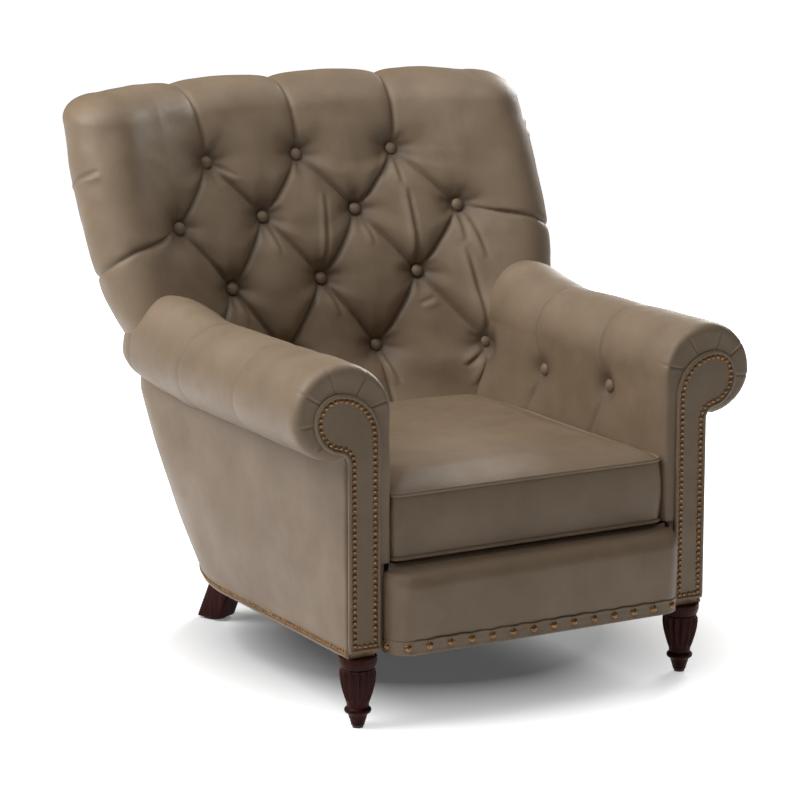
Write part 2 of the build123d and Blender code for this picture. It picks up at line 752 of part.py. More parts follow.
def back_cavity():
    """Space behind the padding for the posts, rails and webbing."""
    faces = []
    for z in (BACK_BOTTOM - WELT, CREST_TOP):
        half, end_y, middle_y = frame_bow(z)
        outer = half + BACK_POST_WIDTH + TOUCH_GAP
        end_y -= TOUCH_GAP
        front = ThreePointArc((-half, end_y, z), (0, middle_y - TOUCH_GAP, z), (half, end_y, z))
        corners = [(half, end_y), (outer, end_y), (outer, BEYOND)]
        corners += [(-x, y) for x, y in reversed(corners)]
        rim = Polyline(*[(x, y, z) for x, y in corners])
        faces.append(make_face([front] + rim.edges()))
    return loft(faces, ruled=True)


def back_button_spots():
    """Seat of each back button, at the bottom of its tuft."""
    spots = []
    for index in range(1, len(BUTTON_ROWS) + 1):
        z = BACK_BOTTOM + BACK_LEVELS[index]
        wing_x = back_profile(index)[0] - WING_RADIUS
        for step in FOUR_STEPS if index in FOUR_BUTTON_LEVELS else THREE_STEPS:
            x = step * BUTTON_SPACING
            drop = (WING_FORWARD + WING_RADIUS) * (abs(x) / wing_x) ** WING_POWER
            spots.append((x, back_y(z) - drop + TUFT_SINK, z))
    return spots


def facing_forward(spot):
    """Plane at a back button: its Z axis points out of the leaning back."""
    lean = math.radians(BACK_LEAN)
    return Plane(origin=spot, x_dir=(1, 0, 0), z_dir=(0, -math.cos(lean), math.sin(lean)))


def button():
    """Covered button: low rim and domed front."""
    rim = BUTTON_HEIGHT / 3
    disc = Cylinder(BUTTON_RADIUS, rim, align=(Align.CENTER, Align.CENTER, Align.MIN))
    return disc + Pos(0, 0, rim) * domed_head(BUTTON_RADIUS, BUTTON_HEIGHT - rim)


def button_pocket():
    """Hole that a button sits in, open outwards."""
    return Cylinder(
        BUTTON_RADIUS + TOUCH_GAP, TUFT_SINK * 2, align=(Align.CENTER, Align.CENTER, Align.MIN)
    )


def back_buttons():
    return group([facing_forward(spot) * button() for spot in back_button_spots()])


def rear_stations(inset):
    """Rear seam, rear middle and height of each level of the outside back, moved in by inset."""
    seam, rear_y = base_rear(inset)
    stations = [(seam, rear_y, PANEL_BOTTOM)]
    seam = shoulder_path(inset)[-1] @ 1
    stations.append((seam, rear_middle(seam, REAR_TURNS[0]), SHOULDER_Z))
    for index in range(1, len(BACK_LEVELS)):
        half_width, turn = back_profile(index)
        z = BACK_BOTTOM + BACK_LEVELS[index]
        wing_x, wing_y = half_width - WING_RADIUS, back_y(z) - WING_FORWARD
        seam = Vector(*wing_points(1, wing_x, wing_y, WING_RADIUS - inset, turn, z)[-1][:2])
        stations.append((seam, rear_middle(seam, turn), z))
    return stations


def rear_sheet(outer_inset, inner_inset):
    """Sheet between two offsets of the rear of the chair, from seam to seam."""
    faces = []
    for outer_at, inner_at in zip(rear_stations(outer_inset), rear_stations(inner_inset)):
        arcs = []
        for seam, rear_y, z in (outer_at, inner_at):
            arcs.append(ThreePointArc((-seam.X, seam.Y, z), (0, rear_y, z), (seam.X, seam.Y, z)))
        ends = [Line(arcs[0] @ end, arcs[1] @ end) for end in (0, 1)]
        faces.append(make_face(arcs + ends))
    return loft(faces, ruled=True)


def outside_back():
    """Panel from the base to the shoulder of the back, between the two rear seams."""
    return rear_sheet(0, PANEL_THICK)


def back_pad():
    """Tufted padding: the back's form without its frame space, lower corners and button seats."""
    pad = back_form(0, PANEL_THICK + TOUCH_GAP) - back_cavity()
    low = (ARM_INNER - TOUCH_GAP, 0, 0)
    corner = box_between(low, (BEYOND, BEYOND, SHOULDER_Z + TOUCH_GAP))
    pad = pad - corner - mirrored(corner)
    for spot in back_button_spots():
        pad = pad - facing_forward(spot) * button_pocket()
    return pad.solids().sort_by(SortBy.VOLUME)[-1]


# Rolled arms


def arm_section(y, inset, rise):
    """Inside lining and roll of the right arm at depth y."""
    across = ROLL_RADIUS - inset
    top = ROLL_RADIUS - inset + rise
    diagonal = math.sqrt(0.5)
    inner = ROLL_X - across
    lowest = (ROLL_X + ARM_UNDERSIDE_X, y, ROLL_Z - ROLL_RADIUS + ARM_UNDERSIDE_LIFT + inset)
    turn = math.radians(ROLL_FLANK_ANGLE)
    flank = (ROLL_X + across * math.cos(turn), y, ROLL_Z - across * math.sin(turn))
    crown = (ROLL_X, y, ROLL_Z + top)
    spring_line = (inner, y, ROLL_Z)
    outer = (ROLL_X + across, y, ROLL_Z)
    near = (ROLL_X - across * diagonal, y, ROLL_Z + top * diagonal)
    far = (ROLL_X + across * diagonal, y, ROLL_Z + top * diagonal)
    edges = [
        Line((inner, y, DECK_TOP), spring_line),
        ThreePointArc(spring_line, near, crown),
        ThreePointArc(crown, far, outer),
        ThreePointArc(outer, flank, lowest),
        Line(lowest, (FRAME_OUTER, y, ARM_LEDGE)),
        Line((FRAME_OUTER, y, ARM_LEDGE), (FRAME_INNER, y, ARM_LEDGE)),
        Line((FRAME_INNER, y, ARM_LEDGE), (FRAME_INNER, y, DECK_TOP)),
        Line((FRAME_INNER, y, DECK_TOP), (inner, y, DECK_TOP)),
    ]
    return make_face(edges)


def arm_button_spots():
    """Seats of the buttons on the inside face of the right arm."""
    x = ARM_INNER + ARM_BUTTON_SINK
    return [(x, share * SEAT_DEPTH, DECK_TOP + height) for share, height in ARM_BUTTONS]


def facing_inward(spot):
    return Plane(origin=spot, x_dir=(0, 1, 0), z_dir=(-1, 0, 0))


def arm_pad():
    """Roll with its rounded front, sweeping up to the wing of the back."""
    sections = [arm_section(FACING_THICK + y, inset, 0) for y, inset in ARM_FRONT_ROUND]
    sections += [arm_section(SEAT_DEPTH + y, inset, rise) for y, rise, inset in ARM_SWEEP]
    arm = loft(sections, ruled=True) - back_form(-2 * TOUCH_GAP, 0)
    lining_rear = SEAT_DEPTH - ARM_LINING_FROM_BACK
    arm = arm - box_between((0, lining_rear, 0), (BEYOND, BEYOND, BACK_BOTTOM))
    seats = [facing_inward(spot) for spot in arm_button_spots()]
    seats += [facing_forward(spot) for spot in back_button_spots() if spot[0] > ARM_INNER]
    for seat in seats:
        arm = arm - seat * button_pocket()
    return arm.solids().sort_by(SortBy.VOLUME)[-1]


def arm_buttons():
    return group([facing_inward(spot) * button() for spot in arm_button_spots()])


def outside_arm(arm):
    """Panel from the base welt up to the arm roll."""
    faces = []
    for path, z in ((base_path, PANEL_BOTTOM), (shoulder_path, SHOULDER_Z)):
        outer, inner = path(0), path(PANEL_THICK)
        ends = [Line(outer[0] @ 0, inner[0] @ 0), Line(outer[-1] @ 1, inner[-1] @ 1)]
        faces.append(Pos(0, 0, z) * make_face(outer + inner + ends))
    panel = loft(faces, ruled=True) - arm - Pos(0, 0, -TOUCH_GAP) * arm
    return panel.solids().sort_by(SortBy.VOLUME)[-1]


# Facings, welts and nails


def facing_edges(inset):
    """Scroll outline on the XZ plane, moved in by inset. A hollow arc leads from the roll into the stem."""
    scroll_z = DECK_TOP + SCROLL_RISE
    inner = FRAME_INNER - FACING_LAP + inset
    top_x = FRAME_INNER - FACING_LAP + SCROLL_INNER_RADIUS
    outer_x = top_x + SCROLL_TOP_RADIUS
    low_x = outer_x - SCROLL_LOWER_RADIUS
    outer_z = scroll_z - SCROLL_TOP_RADIUS
    stem = SIDE_HALF - inset
    bottom = FACING_BOTTOM + inset
    notch_x = SIDE_HALF + SCROLL_NOTCH_RADIUS
    reach = SCROLL_LOWER_RADIUS + SCROLL_NOTCH_RADIUS
    notch_z = outer_z - math.sqrt(reach**2 - (notch_x - low_x) ** 2)
    share = (SCROLL_LOWER_RADIUS - inset) / reach
    meet = (low_x + (notch_x - low_x) * share, outer_z + (notch_z - outer_z) * share)
    shoulder = (inner, scroll_z - SCROLL_INNER_RADIUS)
    return [
        Line((inner, bottom), shoulder),
        RadiusArc(shoulder, (top_x, scroll_z - inset), SCROLL_INNER_RADIUS - inset),
        RadiusArc((top_x, scroll_z - inset), (outer_x - inset, outer_z), SCROLL_TOP_RADIUS - inset),
        RadiusArc((outer_x - inset, outer_z), meet, SCROLL_LOWER_RADIUS - inset),
        RadiusArc(meet, (stem, notch_z), -SCROLL_NOTCH_RADIUS - inset),
        Line((stem, notch_z), (stem, bottom)),
        Line((stem, bottom), (inner, bottom)),
    ]


def facing_plate(inset, front):
    """Plate of the facing's outline, from depth front back to the arm post."""
    plate = extrude(Plane.XZ * make_face(facing_edges(inset)), -(FACING_THICK - front))
    return Pos(0, front, 0) * plate


def arm_facing():
    return facing_plate(WELT, FACING_SET_BACK)


def facing_welt():
    return facing_plate(0, -WELT_PROUD) - facing_plate(WELT, -WELT_PROUD)


def domed_head(radius, height):
    """Domed head with a flat back."""
    bulge = (radius * radius + height * height) / (2 * height)
    profile = make_face([
        Line((0, 0), (radius, 0)),
        RadiusArc((radius, 0), (0, height), -bulge),
        Line((0, height), (0, 0)),
    ])
    return revolve(Plane.XZ * profile, Axis.Z)


def facing_nails():
    """Row of small nails just inside the welt."""
    row = Wire(facing_edges(WELT + SMALL_NAIL_RADIUS + SMALL_NAIL_MARGIN))
    count = round(row.length / SMALL_NAIL_PITCH)
    head = domed_head(SMALL_NAIL_RADIUS, SMALL_NAIL_HEIGHT)
    nails = []
    for index in range(count):
        spot = row @ (index / count)
        nails.append(Plane(origin=(spot.X, FACING_SET_BACK, spot.Y), z_dir=(0, -1, 0)) * head)
    return group(nails)


def side_nails():
    """Row of small nails along the lower edge of the outside arm panel."""
    lift = SMALL_NAIL_RADIUS + SMALL_NAIL_MARGIN
    share = lift / (SHOULDER_Z - PANEL_BOTTOM)
    head = domed_head(SMALL_NAIL_RADIUS, SMALL_NAIL_HEIGHT)
    nails = []
    for low_edge, high_edge in zip(base_path(0), shoulder_path(0)):
        count = round(low_edge.length / SMALL_NAIL_PITCH)
        for index in range(count):
            place = (index + 0.5) / count
            low, high = low_edge @ place, high_edge @ place
            spot = low + (high - low) * share
            along = low_edge % place
            upward = Vector(high.X - low.X, high.Y - low.Y, SHOULDER_Z - PANEL_BOTTOM)
            normal = along.cross(upward).normalized()
            origin = Vector(spot.X, spot.Y, PANEL_BOTTOM + lift) + normal * TOUCH_GAP
            nails.append(Plane(origin=origin, z_dir=normal) * head)
    return group(nails)


# Front apron and nailed band


def apron_edges(proud, end_gap):
    """Plan of the padded front between the facings, with rounded ends."""
    half = FRAME_INNER - FACING_LAP - end_gap
    radius = proud
    rear = FACING_THICK
    return [
        Line((-half, rear), (-half, 0)),
        RadiusArc((-half, 0), (-half + radius, -proud), -radius),
        Line((-half + radius, -proud), (half - radius, -proud)),
        RadiusArc((half - radius, -proud), (half, 0), -radius),
        Line((half, 0), (half, rear)),
        Line((half, rear), (-half, rear)),
    ]


def front_apron():
    low = BAND_BOTTOM + BAND_HEIGHT
    height = DECK_TOP - APRON_CUSHION_GAP - low
    apron = Pos(0, 0, low) * extrude(make_face(apron_edges(APRON_PROUD, APRON_END_GAP)), height)
    top = apron.edges().group_by(Axis.Z)[-1]
    rim = [edge for edge in top if edge.center().Y < FACING_THICK - TOUCH_GAP]
    return fillet(rim, APRON_TOP_ROUND)


def front_band():
    plan = make_face(apron_edges(BAND_PROUD, APRON_END_GAP))
    return Pos(0, 0, BAND_BOTTOM) * extrude(plan, BAND_HEIGHT)


def band_nails():
    """Large nails along the band, evenly spaced and turned with its rounded ends."""
    left_end, front, right_end = apron_edges(BAND_PROUD, APRON_END_GAP)[1:4]
    row = Wire([left_end, front, right_end])
    head = domed_head(BIG_NAIL_RADIUS, BIG_NAIL_HEIGHT)
    nails = []
    for index in range(BIG_NAIL_COUNT):
        place = 0.5 + (index - (BIG_NAIL_COUNT - 1) / 2) * BIG_NAIL_PITCH / row.length
        spot, along = row @ place, row % place
        normal = Vector(along.Y, -along.X, 0)
        height = BAND_BOTTOM + BAND_HEIGHT / 2 + BIG_NAIL_LIFT
        origin = Vector(spot.X, spot.Y, height) + normal * TOUCH_GAP
        nails.append(Plane(origin=origin, z_dir=normal) * head)
    return group(nails)


# Loose seat cushion


def cushion_face(inset, z):
    """Plan of the cushion: drawn-in sides, rear bowed to the back, rounded corners."""
    half = ARM_INNER - CUSHION_SIDE_CLEAR - inset
    front = CUSHION_FRONT_Y + inset
    rear = SEAT_DEPTH - CUSHION_REAR_CLEAR - inset
    corner = rear - CUSHION_REAR_BOW
    middle = (front + corner) / 2
    waist = half - CUSHION_SIDE_DRAW
    plan = make_face([
        Line((-half, front), (half, front)),
        ThreePointArc((half, front), (waist, middle), (half, corner)),
        ThreePointArc((half, corner), (0, rear), (-half, corner)),
        ThreePointArc((-half, corner), (-waist, middle), (-half, front)),
    ])
    return Pos(0, 0, z) * fillet(plan.vertices(), CUSHION_CORNER_RADIUS)


def cushion_form(inset):
    """Boxed cushion with a crowned top, moved in by inset all round."""
    low = DECK_TOP + inset
    high = CUSHION_TOP - inset
    form = extrude(cushion_face(inset, low), high - low)
    crown = []
    for draw, rise in CUSHION_CROWN_STEPS:
        crown.append(cushion_face(inset + draw, high + rise * CUSHION_CROWN))
    return form + loft(crown, ruled=True)


def cushion_welt(low):
    """Cord sewn round the cushion, half sunk in its edge."""
    ring = extrude(cushion_face(-WELT / 2, low), WELT) - extrude(cushion_face(WELT / 2, low), WELT)
    return ring


def cushion_zip():
    """Zip along the middle of the rear boxing, on its curve."""
    rear = SEAT_DEPTH - CUSHION_REAR_CLEAR + TOUCH_GAP
    half = ARM_INNER - CUSHION_SIDE_CLEAR
    radius = (half * half + CUSHION_REAR_BOW ** 2) / (2 * CUSHION_REAR_BOW)
    ring = Circle(radius + ZIP_THICK) - Circle(radius)
    window = Pos(0, radius) * Rectangle(ZIP_LENGTH, radius)
    middle = (DECK_TOP + CUSHION_TOP - ZIP_WIDTH) / 2
    return Pos(0, rear - radius, middle) * extrude(ring & window, ZIP_WIDTH)


def seat_cushion(welts):
    cover = cushion_form(0) - cushion_form(COVER_THICK)
    for welt in welts:
        cover = cover - welt
    return cover.solids().sort_by(SortBy.VOLUME)[-1]


# Assembly


def pair(parts, name, shape):
    """The same piece on both sides."""
    parts[name + "_right"] = shape
    parts[name + "_left"] = mirrored(shape)


def chair():
    parts = {}
    pair(parts, "front_leg", front_leg())
    pair(parts, "rear_leg", rear_leg())
    parts["foot_glides"] = foot_glides()
    parts["leg_bolts"] = group([leg_bolt(*joint) for joint in leg_joints()])
    parts["leg_inserts"] = group([leg_insert(*joint) for joint in leg_joints()])

    parts["front_rail"] = front_rail()
    pair(parts, "side_rail", side_rail())
    pair(parts, "rear_corner_rail", rear_corner_rail())
    parts["rear_rail"] = rear_rail()
    pair(parts, "arm_post", arm_post())
    pair(parts, "arm_rail", arm_rail())
    pair(parts, "back_post", back_post())
    parts["crest_rail"] = crest_rail()
    parts["lower_back_rail"] = lower_back_rail()
    parts["corner_blocks"] = corner_blocks()
    pegs = [dowel(*spot, DOWEL_RADIUS, DOWEL_LENGTH) for spot in dowel_spots()]
    parts["frame_dowels"] = group(pegs + [mirrored(peg) for peg in pegs])

    parts["seat_springs"], parts["spring_clips"] = spring_parts()
    parts["seat_deck"] = seat_deck()
    parts["back_webbing"] = back_webbing()
    parts["dust_cover"] = dust_cover()

    parts["outside_back"] = outside_back()
    parts["back_pad"] = back_pad()
    parts["back_buttons"] = back_buttons()
    arm = arm_pad()
    pair(parts, "arm_pad", arm)
    pair(parts, "arm_buttons", arm_buttons())
    pair(parts, "outside_arm", outside_arm(arm))
    pair(parts, "arm_facing", arm_facing())
    pair(parts, "facing_welt", facing_welt())
    pair(parts, "facing_nails", facing_nails())
    pair(parts, "side_nails", side_nails())
    parts["base_welt"] = base_ring(0, WELT, BASE_UNDERSIDE, PANEL_BOTTOM)
    parts["front_apron"] = front_apron()
    parts["front_band"] = front_band()
    parts["band_nails"] = band_nails()

    welts = [cushion_welt(DECK_TOP + WELT), cushion_welt(CUSHION_TOP - 2 * WELT)]
    parts["seat_cushion"] = seat_cushion(welts)
    parts["cushion_core"] = cushion_form(COVER_THICK + TOUCH_GAP)
    parts["cushion_welt_bottom"], parts["cushion_welt_top"] = welts
    parts["cushion_zip"] = cushion_zip()
    return parts


def export_centred(parts):
    """Put the origin on the floor under the middle of the chair's box, and write each piece."""
    boxes = [shape.bounding_box() for shape in parts.values()]
    middle = (min(box.min.Y for box in boxes) + max(box.max.Y for box in boxes)) / 2
    os.makedirs("parts", exist_ok=True)
    for name, shape in parts.items():
        export_step(Pos(0, -middle, 0) * shape, f"parts/{name}.step")


export_centred(chair())
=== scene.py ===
import json

import bmesh
import bpy
import numpy as np
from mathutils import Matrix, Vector


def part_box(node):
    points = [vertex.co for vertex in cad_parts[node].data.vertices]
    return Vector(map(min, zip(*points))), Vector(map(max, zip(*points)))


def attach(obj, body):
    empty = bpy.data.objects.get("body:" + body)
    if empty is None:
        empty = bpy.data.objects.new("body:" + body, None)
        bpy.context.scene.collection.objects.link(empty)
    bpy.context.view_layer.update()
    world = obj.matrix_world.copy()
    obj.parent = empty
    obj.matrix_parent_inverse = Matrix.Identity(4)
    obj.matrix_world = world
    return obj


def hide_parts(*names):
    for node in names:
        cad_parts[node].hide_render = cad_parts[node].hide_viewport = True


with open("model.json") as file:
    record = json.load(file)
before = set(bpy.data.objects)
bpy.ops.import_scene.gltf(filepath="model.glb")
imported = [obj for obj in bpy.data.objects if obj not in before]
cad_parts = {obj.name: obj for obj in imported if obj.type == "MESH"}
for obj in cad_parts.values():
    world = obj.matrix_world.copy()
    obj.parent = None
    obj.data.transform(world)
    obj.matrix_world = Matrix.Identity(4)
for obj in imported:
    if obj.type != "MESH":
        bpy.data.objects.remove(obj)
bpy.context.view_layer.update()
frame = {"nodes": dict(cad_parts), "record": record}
nodes = frame["nodes"]


# The studio: a pale floor in a white surround, broad soft lamps on the left and overhead, a
# smaller one behind on the right that draws the bright rims, and the camera at the photo's angle.
facing_set_back = 0.001
face_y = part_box("arm_facing_left")[0].y - facing_set_back  # depths are counted from this plane
view_turn, view_drop = np.radians(29.626), np.radians(12.2135)
view_reach = np.cos(view_drop)
eye = Vector((-2.9575, face_y - 4.7199, 1.7650))
sight = Vector((np.sin(view_turn) * view_reach, np.cos(view_turn) * view_reach, -np.sin(view_drop)))


def add_object(name, data):
    """New object of that data, linked into the scene."""
    made = bpy.data.objects.new(name, data)
    bpy.context.scene.collection.objects.link(made)
    return made


camera = add_object("camera", bpy.data.cameras.new("camera"))
camera.data.lens, camera.data.sensor_width = 144.0, 36.0
camera.data.clip_end = 100.0
camera.location = eye
camera.rotation_mode = "QUATERNION"
camera.rotation_quaternion = sight.to_track_quat("-Z", "Y")
bpy.context.scene.camera = camera
bpy.context.scene.view_settings.view_transform = "Standard"


def soft_lamp(name, place, aim, width, watts):
    """Square area lamp at place, turned towards aim."""
    data = bpy.data.lights.new(name, "AREA")
    data.size, data.energy = width, watts
    lamp = add_object(name, data)
    lamp.location = place
    lamp.rotation_mode = "QUATERNION"
    lamp.rotation_quaternion = (Vector(aim) - Vector(place)).to_track_quat("-Z", "Y")


soft_lamp("lamp_left", (-2.9, 0.6, 3.4), (0, 0, 0.5), width=2.6, watts=131.0)
soft_lamp("lamp_above", (-0.4, -0.2, 4.2), (0, 0, 0.4), width=3.2, watts=62.0)
soft_lamp("lamp_right_rear", (2.8, 1.7, 1.9), (0, 0, 0.6), width=1.2, watts=70.0)


def set_sockets(node, values):
    """Values of a node's input sockets, by name or number."""
    for socket, value in values.items():
        node.inputs[socket].default_value = value


def add_node(tree, kind, values=None, **settings):
    """New shader node of that kind, with its settings and the values of its sockets."""
    node = tree.nodes.new("ShaderNode" + kind)
    for setting, value in settings.items():
        setattr(node, setting, value)
    set_sockets(node, values or {})
    return node


def wire(tree, *links):
    """Links between nodes, each given as from node, output, to node, input."""
    for source, output, target, socket in links:
        tree.links.new(source.outputs[output], target.inputs[socket])


def new_finish(name, values):
    """New material, its node tree and its main shader with the values of the shader's sockets."""
    finish = bpy.data.materials.new(name)
    finish.use_nodes = True
    shade = finish.node_tree.nodes["Principled BSDF"]
    set_sockets(shade, values)
    return finish, finish.node_tree, shade


white, half_floor, shadow_middle = (1, 1, 1, 1), 30.0, (0.06, -0.005, 0)
world = bpy.data.worlds.new("surround")
bpy.context.scene.world = world
world.use_nodes = True
air = world.node_tree
surround = air.nodes["Background"]
set_sockets(surround, {"Color": white})
rays = add_node(air, "LightPath")
seen = add_node(air, "Math", operation="MAXIMUM")
strength = add_node(air, "MapRange", {"To Min": 0.05, "To Max": 1.0})
wire(
    air, (rays, "Is Camera Ray", seen, 0), (rays, "Is Transmission Ray", seen, 1),
    (seen, 0, strength, "Value"), (strength, 0, surround, "Strength"),
)


def painted_glow_floor():
    """Pale matt floor with a painted glow: camera and gloss rays see an emission that grows with distance
    from the chair, so the floor turns white away from it and the chair's shadow fades out.
    """
    pale, matt = (0.86, 0.86, 0.86, 1), {"Roughness": 1.0, "Specular IOR Level": 0.0}
    paint, tree, shade = new_finish("pale_floor_with_painted_glow", {"Base Color": pale, "Emission Color": white, **matt})
    path, where = add_node(tree, "LightPath"), add_node(tree, "TexCoord")
    either = add_node(tree, "Math", operation="MAXIMUM")
    aside = add_node(tree, "VectorMath", {1: shadow_middle}, operation="SUBTRACT")
    far = add_node(tree, "VectorMath", operation="LENGTH")
    # painted light: glow strength rises from 0.07 near the chair to 1.0 at 0.78 m, which sets how far the
    # shadow reaches
    glow = add_node(tree, "MapRange", {"From Min": 0.35, "From Max": 0.78, "To Min": 0.07, "To Max": 1.0})
    shown = add_node(tree, "Math", operation="MULTIPLY")
    wire(
        tree, (path, "Is Camera Ray", either, 0), (path, "Is Glossy Ray", either, 1),
        (where, "Object", aside, 0), (aside, "Vector", far, 0), (far, "Value", glow, "Value"),
        (either, 0, shown, 0), (glow, 0, shown, 1), (shown, 0, shade, "Emission Strength"),
    )
    return paint


floor_corners = half_floor * np.array([(-1, -1, 0), (1, -1, 0), (1, 1, 0), (-1, 1, 0)])
floor_mesh = bpy.data.meshes.new("floor")
floor_mesh.from_pydata(floor_corners.tolist(), [], [(0, 1, 2, 3)])
floor_mesh.materials.append(painted_glow_floor())
floor = add_object("floor", floor_mesh)


# Front legs: turned and fluted mahogany, one lathe-turned piece each from toe to collar,
# bolted up into the front posts.
hands = (("left", -1), ("right", 1))
leg_x, leg_y, leg_body_radius = 0.344, 0.027, 0.031
flute_count, flute_depth, flute_swell = 14, 0.0052, 0.0016
flute_low, flute_high, flute_run_in, flute_run_out = 0.0440, 0.1085, 0.012, 0.004
leg_profile = np.array([  # height and radius
    (0.0040, 0.0095), (0.0046, 0.0118), (0.0150, 0.0146), (0.0250, 0.0178), (0.0266, 0.0198),
    (0.0288, 0.0232), (0.0322, 0.0245), (0.0356, 0.0234), (0.0376, 0.0208), (0.0390, 0.0198),
    (0.0460, 0.0204), (0.0560, 0.0226), (0.0660, 0.0256), (0.0760, 0.0284), (0.0860, 0.0304),
    (0.0980, 0.0316), (0.1060, 0.0312), (0.1096, 0.0304), (0.1108, 0.0292), (0.1118, 0.0306),
    (0.1150, 0.0322), (0.1200, 0.0336), (0.1225, 0.0346), (0.1300, 0.0348), (0.1322, 0.0344),
    (0.1330, 0.0330),
])


def skin(name, points, round_u=False, round_v=False, ends=False, middle=None, **marks):
    """Quads over a grid of points, rows by columns. round_u joins the last column to the first and
    round_v the last row to the first; ends closes the first and last rows round a middle point each,
    unless the row is already folded shut, and joins points that meet.
    The faces are turned so that they look away from middle, or out of a closed shape. Each further
    named grid of values becomes an attribute of the points."""
    rows, cols = points.shape[:2]
    spots = points.reshape(-1, 3)
    index = np.arange(rows * cols).reshape(rows, cols)
    if round_u:
        index = np.hstack([index, index[:, :1]])
    if round_v:
        index = np.vstack([index, index[:1]])
    faces = np.stack([index[:-1, :-1], index[:-1, 1:], index[1:, 1:], index[1:, :-1]], -1).reshape(-1, 4)
    heart = spots.mean(0) if middle is None else np.asarray(middle)
    quads = spots[faces]
    flux = np.cross(quads[:, 2] - quads[:, 0], quads[:, 3] - quads[:, 1]) * (quads.mean(1) - heart)
    faces = faces if flux.sum() > 0 else faces[:, ::-1]
    made = faces.tolist()
    if ends:
        spots = np.vstack([spots, points[0].mean(0), points[-1].mean(0)])
        for row, pole in ((index[0], rows * cols), (index[-1], rows * cols + 1)):
            if np.linalg.norm(np.cross(spots[row[:-1]], spots[row[1:]]).sum(0)) > 1e-7:
                made += np.stack([row[:-1], row[1:], np.full(len(row) - 1, pole)], 1).tolist()
    mesh = bpy.data.meshes.new(name)
    mesh.from_pydata(spots.tolist(), [], made)
    for mark, values in marks.items():
        full = np.zeros(len(spots), np.float32)
        full[:rows * cols] = np.ravel(values)
        mesh.attributes.new(mark, "FLOAT", "POINT").data.foreach_set("value", full)
    if ends:
        shell = bmesh.new()
        shell.from_mesh(mesh)
        bmesh.ops.remove_doubles(shell, verts=shell.verts, dist=1e-6)
        bmesh.ops.delete(shell, geom=[v for v in shell.verts if not v.link_faces], context="VERTS")
        bmesh.ops.recalc_face_normals(shell, faces=shell.faces)
        shell.to_mesh(mesh)
        shell.free()
    mesh.polygons.foreach_set("use_smooth", np.ones(len(mesh.polygons), bool))
    return add_object(name, mesh)


def placed(x, y, z):
    """Points at x across, y behind the facings and z up, over one grid."""
    return np.stack(np.broadcast_arrays(x, face_y + y, z), -1)


def turned_leg(name, side):
    """Lathe profile carried round the leg's axis; the flutes are scallops cut by a cosine round the body."""
    steps = [np.linspace(a, b, 5, endpoint=False) for a, b in zip(leg_profile[:-1, 0], leg_profile[1:, 0])]
    z = np.append(np.concatenate(steps), leg_profile[-1, 0])[:, None]
    radius = np.interp(z, *leg_profile.T)
    turn = np.linspace(0, 2 * np.pi, flute_count * 10, endpoint=False)[None]
    reach = np.clip((z - flute_low) / flute_run_in, 0, 1) * np.clip((flute_high - z) / flute_run_out, 0, 1)
    groove = np.abs(np.cos(turn * flute_count / 2)) ** 0.8
    r = radius + reach * (flute_swell - flute_depth * groove * radius / leg_body_radius)
    points = placed(side * leg_x + r * np.cos(turn), leg_y + r * np.sin(turn), z)
    return skin(name, points, round_u=True, ends=True)


def tone_ramp(tree, *tones):
    """Colour ramp of two tones, each given as its place on the ramp and its colour."""
    ramp = add_node(tree, "ValToRGB")
    for stop, (place, colour) in zip(ramp.color_ramp.elements, tones):
        stop.position, stop.color = place, (*colour, 1)
    return ramp


def grained(name, values, stretch, noise, tones, bump):
    """Stretched noise between two tones, with the same noise as a faint bump; also gives its nodes."""
    finish, tree, shade = new_finish(name, values)
    where = add_node(tree, "TexCoord")
    drawn = add_node(tree, "Mapping", {"Scale": stretch})
    grain = add_node(tree, "TexNoise", {"Scale": 1.0, **noise})
    ramp = tone_ramp(tree, *tones)
    relief = add_node(tree, "Bump", {"Strength": bump, "Distance": 0.001})
    wire(
        tree, (where, "Object", drawn, "Vector"), (drawn, "Vector", grain, "Vector"),
        (grain, "Fac", ramp, "Fac"), (ramp, "Color", shade, "Base Color"),
        (grain, "Fac", relief, "Height"), (relief, "Normal", shade, "Normal"),
    )
    return finish, tree, grain, shade


def mahogany(name):
    """Dark red polished wood: noise bands along the height for grain and pores, and an uneven polish."""
    dark_tone, light_tone = (0.014, 0.0022, 0.0014), (0.060, 0.0100, 0.0062)
    wood, tree, grain, shade = grained(
        name, {"Specular IOR Level": 0.10}, (160, 160, 14), {"Detail": 6.0, "Distortion": 0.6},
        ((0.3, dark_tone), (0.75, light_tone)), 0.12,
    )
    polish = add_node(tree, "MapRange", {"To Min": 0.34, "To Max": 0.50})
    wire(tree, (grain, "Fac", polish, "Value"), (polish, 0, shade, "Roughness"))
    return wood


def coat(piece, finish):
    """Puts a finish on a piece in place of any other."""
    piece.data.materials.clear()
    piece.data.materials.append(finish)


def dress(piece, finish, slot, *stands_for, body="chair"):
    """Finish of a piece, the CAD nodes that it stands for and hides, and the body it moves with; the slot
    argument is not used.
    """
    coat(piece, finish)
    if stands_for:
        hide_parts(*stands_for)
    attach(piece, body)


leg_wood = mahogany("mahogany")
for hand, side in hands:
    dress(turned_leg(f"turned_leg_{hand}", side), leg_wood, "leg_wood", f"front_leg_{hand}")


# Rear legs: square mahogany blocks sawn at a rake, turned to follow the curved rear corner
# and bolted up into the rear corner rails. Their edges are eased by hand.
rear_leg_size, rear_foot, rear_leg_top = (0.0265, 0.0285), (0.250, 0.784), 0.1395
rear_rake, rear_twist = np.radians(23.0), np.radians(25.0)


